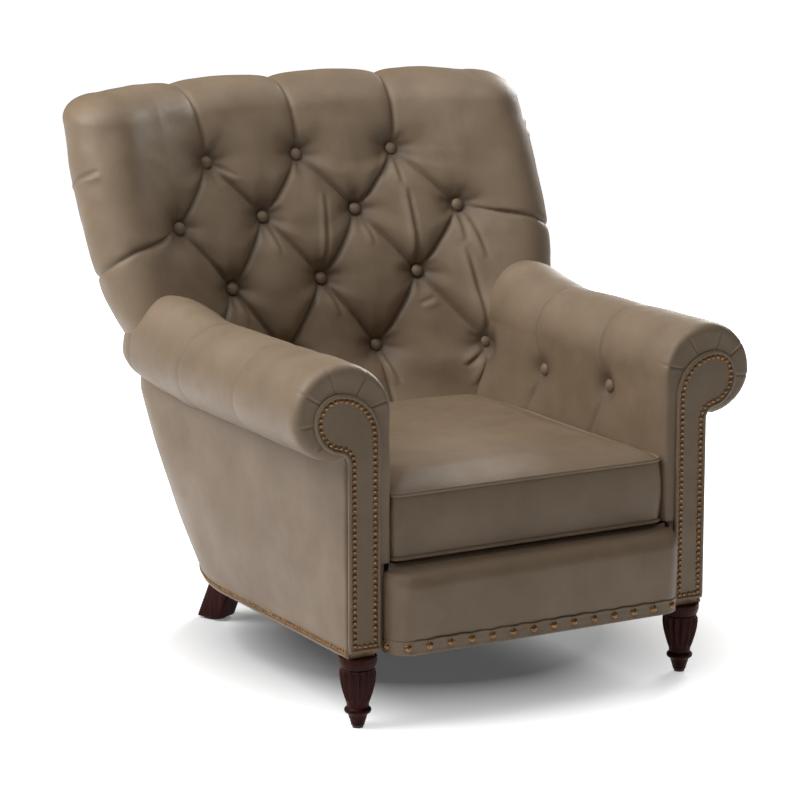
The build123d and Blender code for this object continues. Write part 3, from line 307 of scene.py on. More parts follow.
def raked_leg(name, side):
    """Rounded square, a superellipse of power nine, carried along the raked line from floor to rail."""
    z = np.concatenate([[0.004, 0.0048, 0.0062], np.linspace(0.009, rear_leg_top, 24)])[:, None]
    eased = np.array([0.93, 0.975, 0.995] + [1.0] * 24)[:, None]
    turn = np.linspace(0, 2 * np.pi, 96, endpoint=False)
    ring = np.stack([np.cos(turn), np.sin(turn)])
    across, along = np.sign(ring) * np.abs(ring) ** (2 / 9) * np.array(rear_leg_size)[:, None]
    c, s = np.cos(rear_twist), np.sin(rear_twist)
    lean = z * np.tan(rear_rake)
    x = rear_foot[0] - lean * s + eased * (across * c + along * s)
    y = rear_foot[1] - lean * c + eased * (along * c - across * s)
    return skin(name, placed(side * x, y, z), round_u=True, ends=True)


for hand, side in hands:
    dress(raked_leg(f"raked_leg_{hand}", side), leg_wood, "leg_wood", f"rear_leg_{hand}")


# Glides, frame, springs and webbing: moulded glides under the feet, a doweled hardwood frame,
# steel springs in clips and woven straps. Nearly all of it is hidden by the upholstery.
def plain_finish(name, low, high, stretch, rough, metal=0.0, bump=0.15):
    """Stretched noise between two colours, with one roughness all over."""
    values = {"Roughness": rough, "Metallic": metal}
    return grained(name, values, stretch, {"Detail": 5.0}, ((0.32, low), (0.7, high)), bump)[0]


jute_dark, jute_light = (0.36, 0.3, 0.21), (0.56, 0.48, 0.36)
tape_dark, tape_light = (0.07, 0.05, 0.04), (0.15, 0.11, 0.08)
finishes = {
    "frame_wood": plain_finish("bare_hardwood", (0.30, 0.18, 0.09), (0.52, 0.36, 0.2), (40, 40, 300), 0.7),
    "steel": plain_finish("spring_steel", (0.38, 0.38, 0.39), (0.56, 0.56, 0.57), (400,) * 3, 0.35, 1.0),
    "webbing": plain_finish("jute_webbing", jute_dark, jute_light, (900, 900, 300), 0.95, bump=0.5),
    "glide_plastic": plain_finish("glide_black", (0.03,) * 3, (0.06,) * 3, (500,) * 3, 0.5),
    "zip_tape": plain_finish("zip_tape", tape_dark, tape_light, (700, 700, 1400), 0.85, bump=0.6),
}
for part in frame["record"]["subparts"]:
    if part["material_slot"] in finishes:
        coat(nodes[part["node"]], finishes[part["material_slot"]])


# Seat deck: a flat stuffed pad in black lining cloth over the springs, tacked to the rails.
# The loose cushion lies on it and hides it.
deck_half, deck_front, deck_rear, deck_corner = 0.318, 0.012, 0.522, 0.03
deck_rings = [  # share of the plan and height
    (0.5, 0.2585), (0.97, 0.2585), (0.99, 0.262), (1.0, 0.270), (1.0, 0.284), (0.99, 0.2925), (0.96, 0.2965),
    (0.8, 0.2972), (0.4, 0.2975),
]
lining_cloth = plain_finish("lining_cloth", (0.012,) * 3, (0.032, 0.031, 0.03), (1300,) * 3, 0.95, bump=0.5)


def arc(x, y, radius, turn):
    """Points of a circle round x, y at the given turns."""
    return np.stack([x + radius * np.cos(turn), y + radius * np.sin(turn)], -1)


def rounded_plan(half, front, rear, corner, count):
    """Closed rectangle with rounded corners: a quarter circle at each corner, joined by straight runs."""
    turn = np.linspace(0, np.pi / 2, count)
    x, low, high = half - corner, front + corner, rear - corner
    middles = ((x, high), (-x, high), (-x, low), (x, low))
    return np.vstack([arc(*middle, corner, turn + k * np.pi / 2) for k, middle in enumerate(middles)])


def drawn_in(plan, rings):
    """Stack of the plan shrunk towards its middle: each ring is (share of the plan, height)."""
    middle = plan.mean(0)
    share, height = np.array(rings).T
    flat = middle + (plan - middle)[None] * share[:, None, None]
    return placed(flat[..., 0], flat[..., 1], height[:, None])


deck_plan = rounded_plan(deck_half, deck_front, deck_rear, deck_corner, 14)
deck = skin("deck_pad", drawn_in(deck_plan, deck_rings), round_u=True, ends=True)
dress(deck, lining_cloth, "lining_cloth", "seat_deck")


# Pull-through: the rear of the deck's lining cloth, carried on from the pad over the springs
# and tacked under the lower back rail, which curves.
pull_half, pull_front, pull_level = 0.330, 0.500, 0.2945
rail_middle, rail_bow, rail_underside = 0.721, 1.15, 0.3435


def pull_through(name):
    """Flat strip from the pad to a parabola along the rail, lifted at its rear edge to the underside."""
    x = np.linspace(-pull_half, pull_half, 60)[None]
    back = np.linspace(0, 1, 40)[:, None]
    y = pull_front + back * (rail_middle - rail_bow * x ** 2 - pull_front)
    z = pull_level + (rail_underside - pull_level) * np.clip((back - 0.95) / 0.05, 0, 1) ** 2
    return skin(name, placed(x, y, z), middle=(0, 0, 0))


pull_cloth = pull_through("deck_pull_through")
dress(pull_cloth, lining_cloth, "lining_cloth")


# Outside arms: leather pulled over the side of the frame from the base welt up to under the
# roll, round the rear corner to the seam of the outside back.
panel_low, panel_high, panel_tuck, panel_wall = 0.140, 0.500, 1.085, 0.005
panel_swell, panel_rear_swell, panel_ripple = 0.0035, 0.0055, 0.0010
base_half, board_depth, base_straight = 0.375, 0.008, 0.49
side_radius, corner_radius = 0.41, 0.24
side_turn, base_turn, shoulder_turn = np.radians((26.0, 55.0, 60.0))
shoulder_flare, wing_radius, wing_forward = 0.0744, 0.090, 0.020
back_foot, back_foot_y, back_lean = 0.405, 0.640, np.radians(25.6)


def base_edge(run=60, bend=24):
    """Right half of the base outline up to the rear seam: a straight run, a wide arc and a tighter one."""
    straight = np.stack([np.full(run, base_half), np.linspace(board_depth, base_straight, run)], 1)
    side = arc(base_half - side_radius, base_straight, side_radius, np.linspace(0, side_turn, bend + 1)[1:])
    middle = side[-1] - corner_radius * np.array([np.cos(side_turn), np.sin(side_turn)])
    corner = arc(*middle, corner_radius, np.linspace(side_turn, base_turn, bend + 1)[1:])
    return np.vstack([straight, side, corner])


def back_depth(z):
    """Distance of the middle of the inside back behind the facings at height z, on its lean."""
    return back_foot_y + (z - back_foot) * np.tan(back_lean)


def shoulder_edge(run=60, bend=48):
    """Right half of the outline under the arm: a flared run that meets the wing's arc as its tangent."""
    start = np.array([base_half, board_depth])
    wing = np.array([base_half + shoulder_flare - wing_radius, back_depth(panel_high) - wing_forward])
    reach = wing - start
    flare = np.arctan2(*reach) + np.arcsin(wing_radius / np.hypot(*reach))
    bow = arc(*wing, wing_radius, np.linspace(-flare, shoulder_turn, bend + 1))
    return np.vstack([np.linspace(start, bow[0], run), bow[1:]])


def ripples(points, size, seed, waves=24):
    """Mean of plane waves of about that size in seeded directions: a soft uneven swell from -1 to 1."""
    dice = np.random.default_rng(seed)
    way = dice.normal(size=(waves, 3))
    way *= (2 * np.pi / size * dice.uniform(0.7, 1.4, waves) / np.linalg.norm(way, axis=1))[:, None]
    phase = dice.uniform(0, 2 * np.pi, waves)
    return np.sin(points @ way.T + phase).mean(-1) * np.sqrt(waves) * 0.7


def leather(name):
    """Taupe upholstery leather. Tone: slow mottling, darkened by painted shade in creases and hollows where
    the shapes' crease attribute is high, and paler where wear is high. Gloss: uneven satin. Relief: pebbled
    grain from cell distance, with fine creases on top."""
    hide, tree, shade = new_finish(name, {"Specular IOR Level": 0.33})
    where = add_node(tree, "TexCoord")
    mottle = add_node(tree, "TexNoise", {"Scale": 9.0, "Detail": 7.0, "Roughness": 0.62})
    tone = tone_ramp(tree, (0.28, (0.213, 0.151, 0.098)), (0.74, (0.288, 0.209, 0.138)))
    # painted shade: the crease attribute darkens the tone towards deep brown in pleats and button hollows
    fold, wear = (add_node(tree, "Attribute", attribute_name=mark) for mark in ("fold", "wear"))
    depth = add_node(tree, "MapRange", {"To Max": 0.62})
    dark = add_node(tree, "Mix", {"B": (0.088, 0.062, 0.043, 1)}, data_type="RGBA")
    rub = add_node(tree, "Math", operation="MULTIPLY")
    pale = add_node(tree, "Mix", {"B": (0.42, 0.325, 0.228, 1)}, data_type="RGBA")
    gloss = add_node(tree, "MapRange", {"From Min": 0.3, "From Max": 0.7, "To Min": 0.50, "To Max": 0.40})
    wire(
        tree, (where, "Object", mottle, "Vector"), (mottle, "Fac", tone, "Fac"),
        (fold, "Fac", depth, "Value"), (depth, 0, dark, "Factor"), (tone, "Color", dark, "A"),
        (wear, "Fac", rub, 0), (mottle, "Fac", rub, 1), (rub, 0, pale, "Factor"),
        (dark, "Result", pale, "A"), (pale, "Result", shade, "Base Color"),
        (mottle, "Fac", gloss, "Value"), (gloss, 0, shade, "Roughness"),
    )
    bend = add_node(tree, "TexNoise", {"Scale": 60.0, "Detail": 3.0})
    shift = add_node(tree, "VectorMath", {1: (0.006,) * 3}, operation="MULTIPLY_ADD")
    pebble = add_node(tree, "TexVoronoi", {"Scale": 520.0}, feature="DISTANCE_TO_EDGE")
    round_off = add_node(tree, "MapRange", {"From Max": 0.28}, interpolation_type="SMOOTHSTEP")
    grain = add_node(tree, "Bump", {"Strength": 0.22, "Distance": 0.0006})
    crease = add_node(tree, "TexNoise", {"Scale": 34.0, "Detail": 6.0, "Roughness": 0.55, "Distortion": 0.8})
    slack = add_node(tree, "Bump", {"Strength": 0.10, "Distance": 0.006})
    wire(
        tree, (where, "Object", bend, "Vector"), (bend, "Color", shift, 0), (where, "Object", shift, 2),
        (shift, "Vector", pebble, "Vector"), (pebble, "Distance", round_off, "Value"),
        (round_off, 0, grain, "Height"), (where, "Object", crease, "Vector"),
        (crease, "Fac", slack, "Height"), (grain, "Normal", slack, "Normal"),
        (slack, "Normal", shade, "Normal"),
    )
    return hide


def outside_arm(name, side):
    """Ruled from the base outline past the outline under the arm, up into the roll, and swollen by a sine
    over its height."""
    h = np.linspace(0, panel_tuck, 62)[:, None]
    low, high = base_edge(), shoulder_edge()
    share = np.clip(h, 0, 1)
    flat = low * (1 - share[..., None]) + high * share[..., None]
    points = placed(side * flat[..., 0], flat[..., 1], panel_low + h * (panel_high - panel_low))
    along = np.gradient(flat, axis=1)
    out = np.stack([along[..., 1], -along[..., 0]], -1)
    out /= np.linalg.norm(out, axis=-1, keepdims=True)
    run = np.linspace(0, 1, len(low))
    full = np.sin(np.pi * share)
    rear = panel_swell + panel_rear_swell * np.sin(np.pi * np.clip((run - 0.30) / 0.5, 0, 0.5))
    swell = rear * full ** 0.8 * np.sin(np.pi * np.clip(run * 1.02, 0, 1)) ** 0.4
    swell = swell + panel_ripple * ripples(points, size=0.16, seed=11 + side) * full ** 0.5
    points[..., 0] += side * out[..., 0] * swell
    points[..., 1] += out[..., 1] * swell
    return skin(name, points, middle=(0, face_y + 0.4, 0.3))


def thicken(piece, wall):
    """Gives a surface a wall of that thickness on its inner side."""
    thick = piece.modifiers.new("hide", "SOLIDIFY")
    thick.thickness, thick.offset = wall, -1.0


taupe = leather("taupe_leather")
for hand, side in hands:
    panel = outside_arm(f"outside_arm_leather_{hand}", side)
    thicken(panel, panel_wall)
    dress(panel, taupe, "leather", f"outside_arm_{hand}")


# Outside back: one curved leather panel from the base to the shoulder of the back, sewn to the
# outside arms and to the wrapped back along its two side seams.
back_shoulder, rear_ripple = 0.985, 0.002
wing_levels = np.array([back_foot, 0.5198, 0.6579, 0.782, 0.8928, back_shoulder])
wing_turns = np.radians([60.0, 60.0, 63.0, 67.0, 70.0, 70.0])
wing_steps = np.array([back_foot, 0.570, 0.650, 0.720, 0.800, 0.893, back_shoulder])
wing_halves = np.array([0.437, 0.447, 0.488, 0.500, 0.507, 0.509, 0.500])


def evened(line, reach):
    """Running mean over that many points to each side, with the ends carried on level."""
    width = 2 * reach + 1
    return np.convolve(np.pad(line, reach, mode="edge"), np.ones(width) / width, "valid")


def wing_half(z):
    """Half width of the back at height z: straight steps between the measured levels, eased over 80 mm."""
    fine = np.linspace(0.3, 1.1, 401)
    return np.interp(z, fine, evened(np.interp(fine, wing_steps, wing_halves), 20))


def rear_seam(z):
    """Place of the rear seam on the wing's arc at height z, and the arc's turn there."""
    turn = np.interp(z, wing_levels, wing_turns)
    seam = arc(wing_half(z) - wing_radius, back_depth(z) - wing_forward, wing_radius, turn)
    return seam[..., 0], seam[..., 1], turn


def rear_arc(x, y, turn, share):
    """Circle through both seams, centred on the middle plane; share runs from -1 on the left to 1."""
    return arc(0, y - np.tan(turn) * x, x / np.cos(turn), np.pi / 2 - share * (np.pi / 2 - turn))


def outside_back(name):
    """Arc from seam to seam at each height; below the arms it runs straight down to the base's own arc."""
    share = np.linspace(-1, 1, 141)
    z_low = np.linspace(panel_low, panel_high, 40, endpoint=False)
    z_high = np.linspace(panel_high, back_shoulder, 60)
    h = ((z_low - panel_low) / (panel_high - panel_low))[:, None, None]
    foot, waist = rear_arc(*base_edge()[-1], base_turn, share), rear_arc(*rear_seam(panel_high), share)
    upper = rear_arc(*rear_seam(z_high[:, None]), share)
    flat = np.concatenate([foot * (1 - h) + waist * h, upper])
    points = placed(flat[..., 0], flat[..., 1], np.concatenate([z_low, z_high])[:, None])
    points[..., 1] += rear_ripple * ripples(points, size=0.25, seed=5) * np.cos(share * np.pi / 2) ** 0.5
    return skin(name, points, middle=(0, face_y + 0.3, 0.5))


rear_panel = outside_back("outside_back_leather")
thicken(rear_panel, panel_wall)
dress(rear_panel, taupe, "leather", "outside_back")


# Base welt: a leather-covered cord sewn into the seam along the lower edge of the outside panels,
# from one facing round the rear to the other.
base_cord_inset, base_cord_level, base_cord_radius = 0.0030, 0.1365, 0.0040


def covered_cord(name, path, radius, flat_way, closed=True):
    """Circle carried along a path that lies in a plane; flat_way is the plane's normal."""
    ahead = np.roll(path, -1, 0) - np.roll(path, 1, 0) if closed else np.gradient(path, axis=0)
    ahead /= np.linalg.norm(ahead, axis=1, keepdims=True)
    up = np.asarray(flat_way, float)
    out = np.cross(ahead, up)
    turn = np.linspace(0, 2 * np.pi, 12, endpoint=False)
    ring = radius * (np.cos(turn)[None, :, None] * out[:, None] + np.sin(turn)[None, :, None] * up)
    return skin(name, path[:, None] + ring, round_u=True, round_v=closed, ends=not closed)


def whole_base(inset):
    """Base outline from the right facing round the rear to the left facing, moved in by inset."""
    right = base_edge(40, 16)
    rear = rear_arc(*right[-1], base_turn, np.linspace(1, -1, 60)[1:-1])
    flat = np.vstack([right, rear, (right * (-1, 1))[::-1]])
    along = np.gradient(flat, axis=0)
    along /= np.linalg.norm(along, axis=1, keepdims=True)
    return flat + inset * np.stack([-along[:, 1], along[:, 0]], 1)


base_path = placed(*whole_base(base_cord_inset).T, base_cord_level)
base_cord = covered_cord("base_welt_cord", base_path, base_cord_radius, (0, 0, 1), closed=False)
dress(base_cord, taupe, "leather", "base_welt")


# Dust cover: thin black cloth that closes the underside, stretched flat under the frame and
# tacked to the rails inside the base welt.
cloth_inset, cloth_front, cloth_level, cloth_sag = 0.011, 0.012, 0.1392, 0.0012


def dust_cloth(name):
    """Rows across the base outline, a little slack between its edges."""
    edge = whole_base(cloth_inset)
    across, back = edge[: len(edge) // 2].T[:, :, None]
    share = np.linspace(-1, 1, 41)[None]
    points = placed(across * share, back + cloth_front, cloth_level - cloth_sag * (1 - share ** 2))
    return skin(name, points, middle=(0, 0, 1))


cloth = dust_cloth("dust_cloth")
dress(cloth, lining_cloth, "lining_cloth", "dust_cover")


# Inside back: leather over deep stuffing, drawn back to the frame by buttons in a diamond
# pattern. Pleats run from button to button, over the top, down to the seat and round the wings.
button_pitch, button_sink, button_round, button_reach = 0.104, 0.030, 0.012, 0.026
four_across, three_across = button_pitch * np.array([-3, -1, 1, 3]), button_pitch * np.array([-2, 0, 2])
row_levels = wing_levels[1:5]
button_rows = tuple(zip(row_levels, (four_across, three_across) * 2))
back_rise, crown_length, back_swell, swell_least = 0.054, 0.10, 0.007, 0.014
crease_share, crease_width, lip_bias, lip_reach = 0.32, 0.0042, 0.35, 0.012
fan_depth, fan_spokes, fan_start = 0.0028, 8, 0.014
groove_width, ridge_place, ridge_width = 0.0045, 0.010, 0.007
lumbar_depth, lumbar_level, lumbar_reach = 0.043, 0.495, 0.135
dish_power, dish_flatter, wing_square, rear_inset = 2.6, 4.0, 0.82, 0.0065


def up_the_back(z):
    """Distance up the leaning back from its foot."""
    return (z - back_foot) / np.cos(back_lean)


def back_pleats():
    """Pleats on the back laid flat: across and up at both ends, depth at the start, in the middle and at the
    end, and how far the leather dips to each side."""
    pleats = []
    for (z_low, low), (z_high, high) in zip(button_rows[:-1], button_rows[1:]):
        for a in low:
            for b in high:
                if abs(a - b) < 1.05 * button_pitch:
                    ends = (a, up_the_back(z_low), b, up_the_back(z_high))
                    pleats.append((*ends, button_sink, 0.015, button_sink, 0.028))
    over = up_the_back(back_shoulder) + crown_length
    foot, _, wide, head = up_the_back(row_levels)
    pleats += [(a, foot, a * 0.97, -0.03, button_sink, 0.012, 0.012, 0.028) for a in four_across]
    pleats += [(a, head, a * 1.10, over, button_sink, 0.010, 0.010, 0.026) for a in three_across]
    for side in (-1, 1):
        outer, inner, edge = side * four_across[-1], side * three_across[-1], side * 0.44
        pleats.append((outer, wide, edge, wide - 0.025, button_sink, 0.011, 0.009, 0.010))
        pleats.append((edge, wide - 0.025, side * 0.61, wide - 0.10, 0.009, 0.008, 0.008, 0.006))
        pleats.append((inner, head, side * 0.27, head + 0.004, 0.028, 0.004, 0.0, 0.024))
        pleats.append((outer, foot, edge, foot + 0.02, 0.028, 0.004, 0.0, 0.024))
    return np.array(pleats)


loose_folds = np.array([  # across and up at the start, the same at the end, and size
    (0.212, 0.462, 0.206, 0.300, 0.0060), (0.301, 0.335, 0.312, 0.150, 0.0065),
    (0.034, 0.462, 0.004, 0.300, 0.0045), (0.311, 0.405, 0.304, 0.345, 0.0045),
    (0.324, 0.405, 0.336, 0.310, 0.0050), (0.192, 0.214, 0.228, 0.227, 0.0030),
    (0.304, 0.112, 0.258, 0.078, 0.0045), (0.307, 0.108, 0.276, 0.035, 0.0045),
    (0.203, 0.528, 0.168, 0.480, 0.0045), (0.207, 0.526, 0.204, 0.472, 0.0040),
    (-0.196, 0.536, -0.150, 0.508, 0.0040), (-0.600, 0.520, -0.485, 0.556, 0.0070),
    (0.490, 0.600, 0.575, 0.618, 0.0050), (0.490, 0.574, 0.575, 0.580, 0.0050),
    (-0.098, 0.405, -0.085, 0.345, 0.0035), (0.112, 0.405, 0.124, 0.350, 0.0035),
    (-0.200, 0.270, -0.180, 0.215, 0.0040), (0.006, 0.270, 0.028, 0.205, 0.0040),
    (0.112, 0.120, 0.128, 0.050, 0.0045),
])


def crossing(q, t, q0, t0, q1, t1):
    """Share along a stretch from one point to the other, and the offset across and up from it."""
    run, rise = q1 - q0, t1 - t0
    share = np.clip(((q - q0) * run + (t - t0) * rise) / (run * run + rise * rise), 0, 1)
    return share, q - q0 - share * run, t - t0 - share * rise


def tufting(q, t):
    """Depth of the leather below its full roundness at q across and t up. Each pleat is a crease whose upper
    lip is the steeper, each button a round hollow with a fan of short creases, and both join as a soft
    maximum; between them the stuffing swells out, and loose folds are a groove with a raised lip."""
    deep = np.zeros_like(q)
    for q0, t0, q1, t1, start, least, end, reach in back_pleats():
        share, off_q, off_t = crossing(q, t, q0, t0, q1, t1)
        off = np.hypot(off_q, off_t)
        near, far = np.clip(1 - 2 * share, 0, 1) ** 2, np.clip(2 * share - 1, 0, 1) ** 2
        line = least + (start - least) * near + (end - least) * far
        width = reach * (1 - lip_bias * np.tanh(off_t / lip_reach))
        broad, sharp = np.exp(-(off / width) ** 1.1), np.exp(-(off / crease_width) ** 2)
        dip = line * ((1 - crease_share) * broad + crease_share * sharp)
        deep = (deep ** 6 + dip ** 6) ** (1 / 6)
    fan = np.zeros_like(q)
    for z, row in button_rows:
        for k, a in enumerate(row):
            dq, dt = q - a, t - up_the_back(z)
            r = np.hypot(dq, dt)
            hollow = button_sink * np.exp(-(np.clip(r - button_round, 0, None) / button_reach) ** 1.1)
            deep = (deep ** 6 + hollow ** 6) ** (1 / 6)
            spoke = np.cos(fan_spokes * np.arctan2(dt, dq) + 3 * k + 40 * z)
            fan += fan_depth * np.exp(-r / button_reach) * np.clip(r / fan_start - 1, 0, 1) * spoke
    deep = np.clip(deep, 0, button_sink)
    swell = back_swell * np.clip(1 - deep / swell_least, 0, 1) ** 1.4
    swell = swell * np.clip((0.40 - np.abs(q)) / 0.08, 0, 1)
    for q0, t0, q1, t1, size in loose_folds:
        share, off_q, off_t = crossing(q, t, q0, t0, q1, t1)
        off = np.hypot(off_q, off_t) * np.where(off_q * (t1 - t0) - off_t * (q1 - q0) > 0, 1, -1)
        fade = np.clip(4 * share * (1 - share), 0, 1) ** 0.6
        groove, ridge = np.exp(-(off / groove_width) ** 2), np.exp(-((off - ridge_place) / ridge_width) ** 2)
        fan += size * fade * (0.9 * groove - 0.7 * ridge)
    return deep + fan - swell


def lumbar(z, f):
    """How far the stuffing lies behind the straight lean: a bell up the back, fading at the wings."""
    return lumbar_depth * np.exp(-((z - lumbar_level) / lumbar_reach) ** 2) * (1 - f ** 8)


def back_shell():
    """Closed loops up the back: a front dished by a power of the distance across, flatter at the foot, a wing
    that is squarer than a circle towards the front, and a rear arc; at the foot they close flat, and over the
    shoulder in a leaning ellipse, onto the line midway front to rear. Gives the right half of each loop."""
    front, bend, levels, crown = 112, 44, 210, 24
    sole, dome = np.linspace(-np.pi / 2, 0, 3, endpoint=False), np.linspace(0, np.pi / 2, crown + 1)[1:]
    lift = np.concatenate([sole, np.zeros(levels), dome])[:, None]
    straight = np.linspace(back_foot, back_shoulder, levels)
    z = np.concatenate([np.full(len(sole), back_foot), straight, np.full(crown, back_shoulder)])[:, None]
    wing_x, depth = wing_half(z) - wing_radius, back_depth(z)
    seam_x, seam_y, turn = rear_seam(z)
    f = np.linspace(0, 1, front)[None]
    angle = -np.pi / 2 + (turn + np.pi / 2) * np.linspace(0, 1, bend + 2)[None, 1:-1]
    curl = dish_power + dish_flatter * np.clip((0.50 - z) / 0.08, 0, 1) ** 2
    dish = depth + lumbar(z, f) - (wing_radius + wing_forward) * f ** curl
    radius = seam_x / np.cos(turn)
    rear_x = seam_x * f[:, ::-1]
    rear_y = seam_y - np.tan(turn) * seam_x + np.sqrt(radius ** 2 - rear_x ** 2) - rear_inset
    square = np.where(angle < 0, wing_square, 1.0)
    wing_out, wing_back = np.cos(angle) ** square, np.sign(angle) * np.abs(np.sin(angle)) ** square
    x = np.hstack([wing_x * f, wing_x + wing_radius * wing_out, rear_x])
    y = np.hstack([dish, depth - wing_forward + wing_radius * wing_back, rear_y])
    middle_y = (dish + rear_y[:, ::-1]) / 2
    spine_x = np.hstack([wing_x * f, np.repeat(wing_x, bend, 1), wing_x * f[:, ::-1]])
    spine_y = np.hstack([middle_y, np.repeat(middle_y[:, -1:], bend, 1), middle_y[:, ::-1]])
    q = np.hstack([wing_x * f, wing_x + wing_radius * (angle + np.pi / 2), wing_x * f[:, ::-1]])
    rear = np.hstack([np.zeros((1, front + bend)), np.ones((1, front))]) * np.ones((len(z), 1))
    return z, lift, x, y, spine_x, spine_y, q, rear


def both_halves(right, flip=1.0):
    """Right half of each loop, then its mirror image back to the start."""
    return np.hstack([right, flip * right[:, -2:0:-1]])


def loop_normal(x, y):
    """Unit normal of closed loops, square to the line from the point before to the point after."""
    out_x, out_y = np.roll(y, -1, 1) - np.roll(y, 1, 1), np.roll(x, 1, 1) - np.roll(x, -1, 1)
    size = np.hypot(out_x, out_y) + 1e-9
    return out_x / size, out_y / size


def inside_back(name):
    """The shell's loops, evened along their length, then sunk by the tufting and swollen by slow ripples."""
    z, lift, *halves = back_shell()
    flips = (-1, 1, -1, 1, -1, 1)
    x, y, spine_x, spine_y, q, rear = (both_halves(half, flip) for half, flip in zip(halves, flips))
    for _ in range(50):
        x, y = (0.5 * w + 0.25 * (np.roll(w, 1, 1) + np.roll(w, -1, 1)) for w in (x, y))
    c, s = np.cos(lift), np.clip(np.sin(lift), 0, 1)
    x = spine_x + (x - spine_x) * c
    y = spine_y + (y - spine_y) * c + back_rise * s * np.tan(back_lean)
    t = up_the_back(z) + crown_length * np.clip(lift / (np.pi / 2), 0, 1) + 0 * q
    points = placed(x, y, z + back_rise * s)
    slack = 0.0012 * ripples(points, size=0.11, seed=3) + 0.0003 * ripples(points, size=0.045, seed=4)
    rear = rear > 0.5
    deep = (tufting(q, t) + slack * np.clip((t + 0.01) / 0.05, 0, 1)) * np.where(rear, s ** 2, 1.0)
    out_x, out_y = loop_normal(x, y)
    side = np.clip((np.abs(q) - 0.31) / 0.07, 0, 1) * np.where(rear, 0.0, 1.0)
    points[..., 0] -= deep * side * out_x * c
    points[..., 1] += deep * np.where(rear, -1.0, (1 - side) - side * out_y) * c
    points[..., 2] -= deep * s
    # painted shade: the leather is darkened where the tufting sinks it more than 6 mm, in pleats and button
    # hollows
    fold, wear = np.clip((deep - 0.006) / 0.024, 0, 1), 0.4 * np.clip(0.5 - deep / 0.010, 0, 1)
    return skin(name, points, round_u=True, ends=True, fold=fold, wear=wear)


inner_back = inside_back("inside_back_leather")
dress(inner_back, taupe, "leather", "back_pad")


# Covered buttons: domed metal shells in the same leather, tied through the stuffing of the
# back and of each arm. Those of the back lie as deep as the leather does.
def points_of(mesh):
    """The points of a mesh, one row each."""
    flat = np.zeros(len(mesh.vertices) * 3)
    mesh.vertices.foreach_get("co", flat)
    return flat.reshape(-1, 3)


tied = nodes["back_buttons"].data.copy()
domes = points_of(tied)
row_z = row_levels[np.abs(domes[:, 2:] - row_levels).argmin(1)]
row_x = np.round(domes[:, 0] / button_pitch) * button_pitch
domes[:, 1] += lumbar(row_z, np.abs(row_x) / (wing_half(row_z) - wing_radius))
tied.vertices.foreach_set("co", domes.ravel())
dress(add_object("back_buttons_tied", tied), taupe, "leather", "back_buttons")
for hand, side in hands:
    coat(nodes[f"arm_buttons_{hand}"], taupe)


# Rolled arms: leather over a stuffed roll, gathered round the front and drawn in by buttons on
# the inside face; each roll sweeps up at the rear into the wing of the back.
roll_z, roll_rear, roll_drop, seat_level = 0.567, 0.750, 0.079, 0.2985
board_outer, board_inner, board_top = 0.372, 0.322, 0.501
roll_lines = np.array([  # depth, then the inner face, middle, outer face and height of the roll
    (0.000, 0.2845, 0.383, 0.479, 0.096), (0.100, 0.2880, 0.383, 0.478, 0.095),
    (0.300, 0.2912, 0.383, 0.474, 0.092), (0.450, 0.2942, 0.383, 0.471, 0.090),
    (0.530, 0.2980, 0.389, 0.471, 0.094), (0.580, 0.3020, 0.392, 0.471, 0.108),
    (0.610, 0.3056, 0.395, 0.471, 0.114), (0.640, 0.3089, 0.397, 0.471, 0.115),
    (0.680, 0.3124, 0.398, 0.471, 0.112), (0.730, 0.3164, 0.398, 0.471, 0.103),
    (0.750, 0.3180, 0.398, 0.471, 0.096),
])
arm_draws = (  # across, depth and height; the last, close to the wing, has no button
    (0.298, 0.215, 0.515), (0.298, 0.445, 0.505), (0.322, 0.660, 0.517),
)
arm_button_set, arm_button_reach, face_lean_low = 0.008, 0.020, 0.42
pleat_least, pleat_gain, pleat_fade, gather_depth = 0.0022, 0.0075, 0.055, 0.0017
gather_turns = np.radians([-45, -7, 33, 72, 122, 165])
front_round = np.array([  # depth, and how far the roll is drawn in there
    (0.0042, 0.0520), (0.0042, 0.0440), (0.0042, 0.0360), (0.0042, 0.0280), (0.0043, 0.0205),
    (0.0048, 0.0165), (0.0057, 0.0130), (0.0070, 0.0100), (0.0088, 0.0073), (0.0112, 0.0050),
    (0.0142, 0.0031), (0.0180, 0.0016), (0.0230, 0.0006),
])


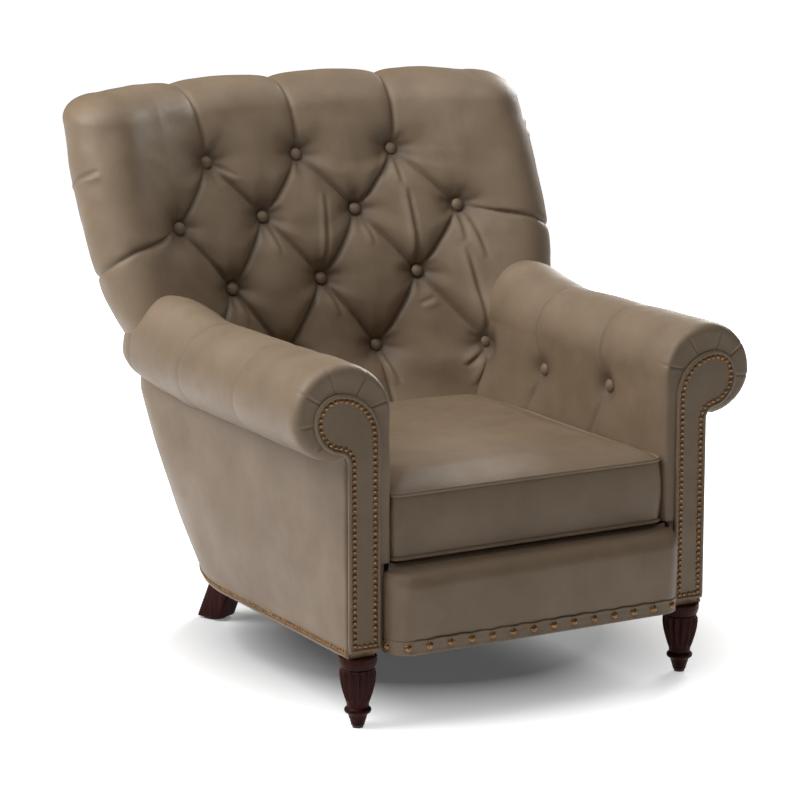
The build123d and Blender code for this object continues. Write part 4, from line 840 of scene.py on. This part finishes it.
def rolled_arm(name, side):
    """Loop of inside face, roll and ledge at each depth. The roll is an ellipse whose height grows along the
    sweep; pleats cross it where it is drawn in, fading with distance, and gathers fan round the front."""
    y = np.concatenate([front_round[:, 0], np.linspace(0.029, roll_rear, 165)])
    rear_draw = np.interp(y[len(front_round):], [0.68, 0.71, 0.735, roll_rear], [0, 0.002, 0.008, 0.018])
    draw = np.concatenate([front_round[:, 1], rear_draw])[:, None]
    lines = [evened(np.interp(y, roll_lines[:, 0], roll_lines[:, k]), 6)[:, None] for k in (1, 2, 3, 4)]
    inner, middle, outer, top = lines
    inner, outer, top = inner + np.where(draw < 0.02, 0.55 * draw, draw - 0.009), outer - draw, top - draw
    over, under = np.linspace(np.pi, 0, 130)[None], np.linspace(0, np.radians(80), 40)[None, 1:]
    face = np.linspace(0, 1, 46)[None, :-1]
    tuck = 1 - np.interp(y, [0.50, 0.60, 0.70, roll_rear], [0, 0.10, 0.28, 0.45])[:, None]
    lean = np.interp(y, [0.40, 0.55, 0.65, roll_rear], [0, 0.13, 0.26, 0.28])[:, None]
    rows = np.ones((len(y), 1))
    face_z = seat_level + face * (roll_z - seat_level) * rows
    roll = middle + np.where(np.cos(over) < 0, middle - inner, outer - middle) * np.cos(over)
    ledge = roll_z - roll_drop * tuck * np.sin(under) * (1 - draw / 0.09)
    face_x = inner + lean * (np.maximum(face_z, face_lean_low) - roll_z)
    x = np.hstack([face_x, roll, middle + (outer - middle) * np.cos(under)])
    z = np.hstack([face_z, roll_z + top * np.sin(over), ledge])
    close = np.linspace(0, 1, 5)[None, 1:]
    flat = 0 * close * rows
    across, down = (board_inner - board_outer) * close, (seat_level - board_top) * close
    low_x, low_z = x[:, -1:], z[:, -1:]
    x = np.hstack([x, low_x + (board_outer - low_x) * close, board_outer + across * rows, board_inner + flat])
    z = np.hstack([z, low_z + (board_top - low_z) * close, board_top + flat, board_top + down * rows])
    count = x.shape[1]
    along = np.hstack([np.zeros((len(y), 1)), np.cumsum(np.hypot(np.diff(x, axis=1), np.diff(z, axis=1)), 1)])
    depth = np.repeat(y[:, None], count, 1)
    deep = np.zeros_like(x)
    shown = (np.arange(count) < count - 3 * close.size)[None]
    for k, (bx, by, bz) in enumerate(arm_draws):
        climb = along - (bz - seat_level)
        drift = np.where(climb < 0, -0.5 * climb, 0.030 * (1 - np.exp(-climb / 0.06)))
        off = np.abs(depth - (by + drift + 0.004 * np.sin(along * 24 + k)))
        strength = pleat_least + pleat_gain * np.exp(-np.abs(climb) / pleat_fade)
        pleat = 0.55 * np.exp(-off / 0.016) + 0.45 * np.exp(-(off / 0.0045) ** 2)
        deep = np.maximum(deep, strength * pleat)
        r = np.hypot(depth - by, climb)
        sink = bx + arm_button_set - np.interp(by, roll_lines[:, 0], roll_lines[:, 1])
        hollow = np.exp(-(np.clip(r - button_round, 0, None) / arm_button_reach) ** 1.1)
        deep = np.maximum(deep, sink * hollow)
    turn = np.arctan2(z - roll_z, x - middle)
    for k, a in enumerate(gather_turns):
        pinch = np.exp(-((turn - a) / 0.026) ** 2) - 0.2 * np.exp(-((turn - a - 0.08) / 0.05) ** 2)
        reach = 0.006 + 0.003 * (k % 3)
        deep = deep + gather_depth * pinch * np.exp(-np.clip(depth - 0.010, 0, None) / reach)
    points = placed(side * x, depth, z)
    deep = deep + 0.0008 * ripples(points, size=0.11, seed=20 + side)
    deep = (deep + 0.0002 * ripples(points, size=0.04, seed=30 + side)) * shown
    out_x, out_z = loop_normal(x, z)
    end = np.clip((0.0062 - depth) / 0.0015, 0, 1)
    points[..., 0] += side * deep * (1 - end) * out_x
    points[..., 1] += deep * end
    points[..., 2] += deep * (1 - end) * out_z
    # painted shade: the leather is darkened in the pleats, gathers and button hollows
    fold = np.clip((deep - 0.0012) / 0.008, 0, 1) * 0.8
    wear = 0.45 * np.clip((z - roll_z) / 0.08, 0, 1) * np.clip(1 - deep / 0.004, 0, 1)
    return skin(name, points, round_u=True, ends=True, fold=fold, wear=wear)


tail_low, tail_high, tail_wall = 0.1445, 0.3015, 0.0015
tail_start, tail_bend, tail_end = (0.320, 0.0068), (0.305, 0.0118, 0.005), (0.300, 0.060)


def lining_tail(name, side):
    """Plan that runs in behind the facing's edge and turns back round a small radius, carried down."""
    bend = arc(*tail_bend, np.linspace(-np.pi / 2, -np.pi, 10))
    x, y = np.vstack([tail_start, bend, tail_end]).T
    z = np.linspace(tail_low, tail_high, 12)[:, None]
    return skin(name, placed(side * x, y, z), middle=(side * 0.34, face_y + 0.05, 0.22))


for hand, side in hands:
    tail = lining_tail(f"arm_lining_tail_{hand}", side)
    thicken(tail, tail_wall)
    dress(tail, taupe, "leather")
    arm = rolled_arm(f"rolled_arm_leather_{hand}", side)
    dress(arm, taupe, "leather", f"arm_pad_{hand}")


# Arm facings: leather-covered scroll boards nailed on over the raw ends of the arms, edged with
# a covered cord and one close row of small domed nails.
scroll_inner, scroll_bottom, hollow_x, hollow_radius = 0.311, 0.144, 0.395, 0.020
scroll_arcs = ((0.393, 0.529, 0.082), (0.393, 0.563, 0.048), (0.382, 0.563, 0.059))
welt_radius, facing_cord_inset, facing_cord_depth = 0.0042, 0.0035, 0.0025
brass_dark, brass_light = (0.12, 0.060, 0.024), (0.36, 0.200, 0.085)


def scroll_outline(inset):
    """Scroll panel's edge: straight stem, three arcs round the roll, a hollow arc back into the stem."""
    inner, stem, bottom = scroll_inner + inset, base_half - inset, scroll_bottom + inset
    eye_x, eye_z, eye_radius = scroll_arcs[-1]
    hollow_z = eye_z - np.sqrt((eye_radius + hollow_radius) ** 2 - (hollow_x - eye_x) ** 2)
    meet = np.arctan2(hollow_z - eye_z, hollow_x - eye_x)
    ends = ((np.pi, np.pi / 2), (np.pi / 2, 0), (0, meet))
    arcs = [arc(x, z, r - inset, np.linspace(*turn, 26)) for (x, z, r), turn in zip(scroll_arcs, ends)]
    hollow = arc(hollow_x, hollow_z, hollow_radius + inset, np.linspace(meet + np.pi, np.pi, 26))
    rise = np.linspace((inner, bottom), (inner, scroll_arcs[0][1]), 60)
    fall = np.linspace((stem, hollow_z), (stem, bottom), 60)
    foot = np.linspace((stem, bottom), (inner, bottom), 60)[8:56:8]
    return np.vstack([rise[:-1], arcs[0], arcs[1][1:], arcs[2][1:], hollow[1:-1], fall, foot])


brass = plain_finish("antique_brass", brass_dark, brass_light, (220,) * 3, 0.42, 0.7, bump=0.25)
for hand, side in hands:
    edge_x, edge_z = scroll_outline(facing_cord_inset).T
    path = placed(side * edge_x, facing_cord_depth, edge_z)
    cord = covered_cord(f"facing_cord_{hand}", path, welt_radius, (0, 1, 0))
    dress(cord, taupe, "leather", f"facing_welt_{hand}")
    coat(nodes[f"arm_facing_{hand}"], taupe)
    for row in ("facing_nails", "side_nails"):
        coat(nodes[f"{row}_{hand}"], brass)


# Front apron: a stuffed leather roll bowed out between the facings below the cushion, pulled
# over the front rail and tacked to its top.
apron_half, apron_proud, apron_wall, apron_slope, apron_ripple = 0.305, 0.040, 0.003, 0.008, 0.0008
apron_low, apron_high, apron_top, apron_rail = 0.1610, 0.2560, 0.2860, 0.2965


def apron_path(proud, count=120):
    """Plan of the apron's front from left to right: quarter circles at the ends, straight between."""
    start = np.array([[-apron_half, board_depth], [-apron_half, board_depth / 2]])
    left = np.vstack([start, arc(proud - apron_half, 0, proud, np.linspace(np.pi, 1.5 * np.pi, 24))])
    run = np.linspace(proud - apron_half, apron_half - proud, count)[1:-1]
    return np.vstack([left, np.stack([run, np.full(len(run), -proud)], 1), (left * (-1, 1))[::-1]])


def front_roll(name):
    """The plan carried up a rounded profile: each step is (share drawn back to the rail, height)."""
    rise = np.linspace(0, 1, 40)
    a = np.linspace(0, np.pi / 2, 18)[1:]
    tuck = np.linspace(0, 1, 8)[1:]
    draw = np.concatenate([-0.12 * (1 - (1 - rise) ** 2), 0.5 - 0.62 * np.cos(a), 0.5 + 0.5 * tuck])[:, None]
    height = np.concatenate([
        apron_low + rise * (apron_high - apron_low), apron_high + (apron_top - apron_high) * np.sin(a),
        apron_top + (apron_rail - apron_top) * tuck ** 4,
    ])[:, None]
    plan_x, plan_y = apron_path(apron_proud).T[:, None]
    x = plan_x * (1 - 0.045 * np.clip(draw, 0, 1))
    y = board_depth + (plan_y - board_depth) * (1 - draw)
    slope = apron_slope * x * np.concatenate([rise, np.ones_like(a), 1 - tuck])[:, None]
    points = placed(x, y, height + slope)
    swell = ripples(points * (1, 1, 0.45), size=0.12, seed=41)
    points[..., 1] += apron_ripple * swell * np.clip(1 - draw, 0, 1)
    return skin(name, points, middle=(0, face_y + 0.3, 0.2))


apron = front_roll("front_apron_leather")
thicken(apron, apron_wall)
dress(apron, taupe, "leather", "front_apron")


# Lower band: a separate strip of leather under the apron, held by a row of large domed nails
# that pull its upper edge into shallow scallops.
band_proud, band_low, band_height, band_wall, nail_pitch = 0.042, 0.1375, 0.0265, 0.003, 0.043
scallop, rim_swell, puff = 0.0010, 0.0010, 0.0010


def nailed_band(name):
    """The apron's plan a little further out, raised in a scallop between nails and pinched in at each one."""
    plan = apron_path(band_proud, 300)
    run = np.append(0, np.cumsum(np.hypot(*np.diff(plan, axis=0).T)))
    wave = np.cos(2 * np.pi * (run - run[-1] / 2) / nail_pitch)[None]
    share = np.linspace(0, 1, 14)[:, None]
    height = band_low + share * (band_height + scallop * wave)
    rim = np.exp(-((share - 0.1) / 0.09) ** 2) + np.exp(-((share - 0.9) / 0.09) ** 2)
    swell = rim_swell * rim + puff * np.sin(np.pi * share) * (0.5 + 0.5 * wave)
    y = board_depth + (plan[:, 1] - board_depth) * (1 + swell / 0.05)
    return skin(name, placed(plan[:, 0], y, height), middle=(0, face_y + 0.3, 0.15))


band = nailed_band("front_band_leather")
thicken(band, band_wall)
dress(band, taupe, "leather", "front_band")
coat(nodes["band_nails"], brass)


# Loose seat cushion: a boxed leather cover over a soft filling, with a covered cord sewn round
# both edges and a zip along the rear. It lies on the deck and lifts out.
cushion_half, cushion_front, cushion_corner_y, cushion_rear = 0.2835, 0.004, 0.632, 0.662
cushion_taper, cushion_waist, cushion_crown, boxing_swell = 0.021, 0.005, 0.022, 0.010
cord_low, cord_high = 0.3030, 0.4180
zip_run, zip_proud, zip_wall, zip_half = slice(106, 135), 0.0038, 0.0016, 0.011


def cushion_plan():
    """Outline of the cushion: straight front, sides drawn in 5 mm and turned in at the rear, rear bowed, and
    corners rounded by averaging."""
    s = np.linspace(0, 1, 48, endpoint=False)[:, None]
    rear_half = cushion_half - cushion_taper
    corners = np.array([[-cushion_half, cushion_front], [cushion_half, cushion_front],
                        [rear_half, cushion_corner_y], [-rear_half, cushion_corner_y]])
    front, right, rear = (a * (1 - s) + b * s for a, b in zip(corners[:-1], corners[1:]))
    turned = cushion_taper * (s - np.clip((s - 0.75) / 0.25, 0, 1) ** 2) - cushion_waist * np.sin(np.pi * s)
    right[:, :1] += turned
    rear[:, 1:] += (cushion_rear - cushion_corner_y) * (1 - (2 * s - 1) ** 2)
    loop = np.vstack([front, right, rear, right[::-1] * (-1, 1)])
    for _ in range(3):
        loop = 0.5 * loop + 0.25 * (np.roll(loop, 1, 0) + np.roll(loop, -1, 0))
    return loop


def boxed_cushion(name):
    """Rings of the outline: in along the flat underside, up the swollen boxing, in again over the crown,
    whose height climbs from the cord as one minus an exponential."""
    low = [(s, seat_level) for s in np.linspace(0.04, 0.96, 24)] + [(0.985, 0.2990), (1.0, cord_low)]
    rise = np.linspace(0, 1, 16)[1:-1]
    box = [(1.0 + boxing_swell * np.sin(np.pi * r), cord_low + r * (cord_high - cord_low)) for r in rise]
    inward = np.linspace(0.985, 0.04, 46)
    crown = [(s, cord_high + cushion_crown * (1 - np.exp(-(1 - s) / 0.10))) for s in inward]
    rings = low + box + [(1.0, cord_high)] + crown
    return skin(name, drawn_in(cushion_plan(), rings), round_u=True, ends=True)


def stuffed(piece, pinned, pressure, cap):
    """Cloth blown up from inside for twenty frames with the sewn edges pinned; each point's move is averaged
    with its neighbours', as thick leather takes no small folds, and none passes the cap."""
    frames, passes = 20, 40
    start = points_of(piece.data)
    sewn = piece.vertex_groups.new(name="sewn")
    held = pinned(start)
    sewn.add(np.flatnonzero(held).tolist(), 1.0, "REPLACE")
    cloth = piece.modifiers.new("stuffing", "CLOTH")
    cloth.settings.use_pressure = True
    cloth.settings.uniform_pressure_force = pressure
    cloth.settings.effector_weights.gravity = 0.0
    cloth.settings.vertex_group_mass = "sewn"
    cloth.settings.tension_stiffness = 12.0
    cloth.settings.compression_stiffness = 4.0
    cloth.settings.bending_stiffness = 2.0
    cloth.settings.shrink_min = -0.006
    cloth.point_cache.frame_end = frames
    for step in range(1, frames + 1):
        bpy.context.scene.frame_set(step)
    shaped = piece.evaluated_get(bpy.context.evaluated_depsgraph_get())
    shift = points_of(shaped.data) - start
    ends = np.zeros(len(piece.data.edges) * 2, dtype=np.int32)
    piece.data.edges.foreach_get("vertices", ends)
    one, other = ends.reshape(-1, 2).T
    beside = np.bincount(ends, minlength=len(start))[:, None]
    for _ in range(passes):
        total = np.zeros_like(shift)
        np.add.at(total, one, shift[other])
        np.add.at(total, other, shift[one])
        shift = np.where(held[:, None], 0.0, 0.5 * shift + 0.5 * total / beside)
    size = np.linalg.norm(shift, axis=1, keepdims=True)
    shift *= np.clip(cap / np.maximum(size, 1e-9), None, 1.0)
    piece.modifiers.remove(cloth)
    piece.vertex_groups.remove(sewn)
    piece.data.vertices.foreach_set("co", (start + shift).ravel())
    piece.data.update()
    bpy.context.scene.frame_set(1)


def sewn_edges(points):
    """The two corded edges, the zip along the rear and the underside that lies on the deck."""
    y, z = points[:, 1], points[:, 2]
    corded = np.minimum(np.abs(z - cord_low), np.abs(z - cord_high)) < 0.001
    zipped = (np.abs(2 * z - cord_low - cord_high) < 0.03) & (y > face_y + cushion_corner_y + 0.01)
    return corded | zipped | (z < seat_level + 0.001)


cushion = boxed_cushion("seat_cushion_leather")
stuffed(cushion, sewn_edges, pressure=2.5, cap=0.005)
dress(cushion, taupe, "leather", "seat_cushion", "cushion_core", body="cushion")
zip_x, zip_y = cushion_plan()[zip_run].T[:, :, None]
around = np.linspace(0, 2 * np.pi, 12, endpoint=False)
zip_y = zip_y + zip_proud + zip_wall * np.cos(around)
zip_z = (cord_low + cord_high) / 2 - zip_half * np.sin(around)
zip_band = skin("cushion_zip_tape", placed(zip_x, zip_y, zip_z), round_u=True, ends=True)
dress(zip_band, finishes["zip_tape"], "zip_tape", "cushion_zip", body="cushion")
for level, node, z in (("low", "cushion_welt_bottom", cord_low), ("high", "cushion_welt_top", cord_high)):
    cord = covered_cord(f"cushion_cord_{level}", placed(*cushion_plan().T, z), welt_radius, (0, 0, 1))
    dress(cord, taupe, "leather", node, body="cushion")
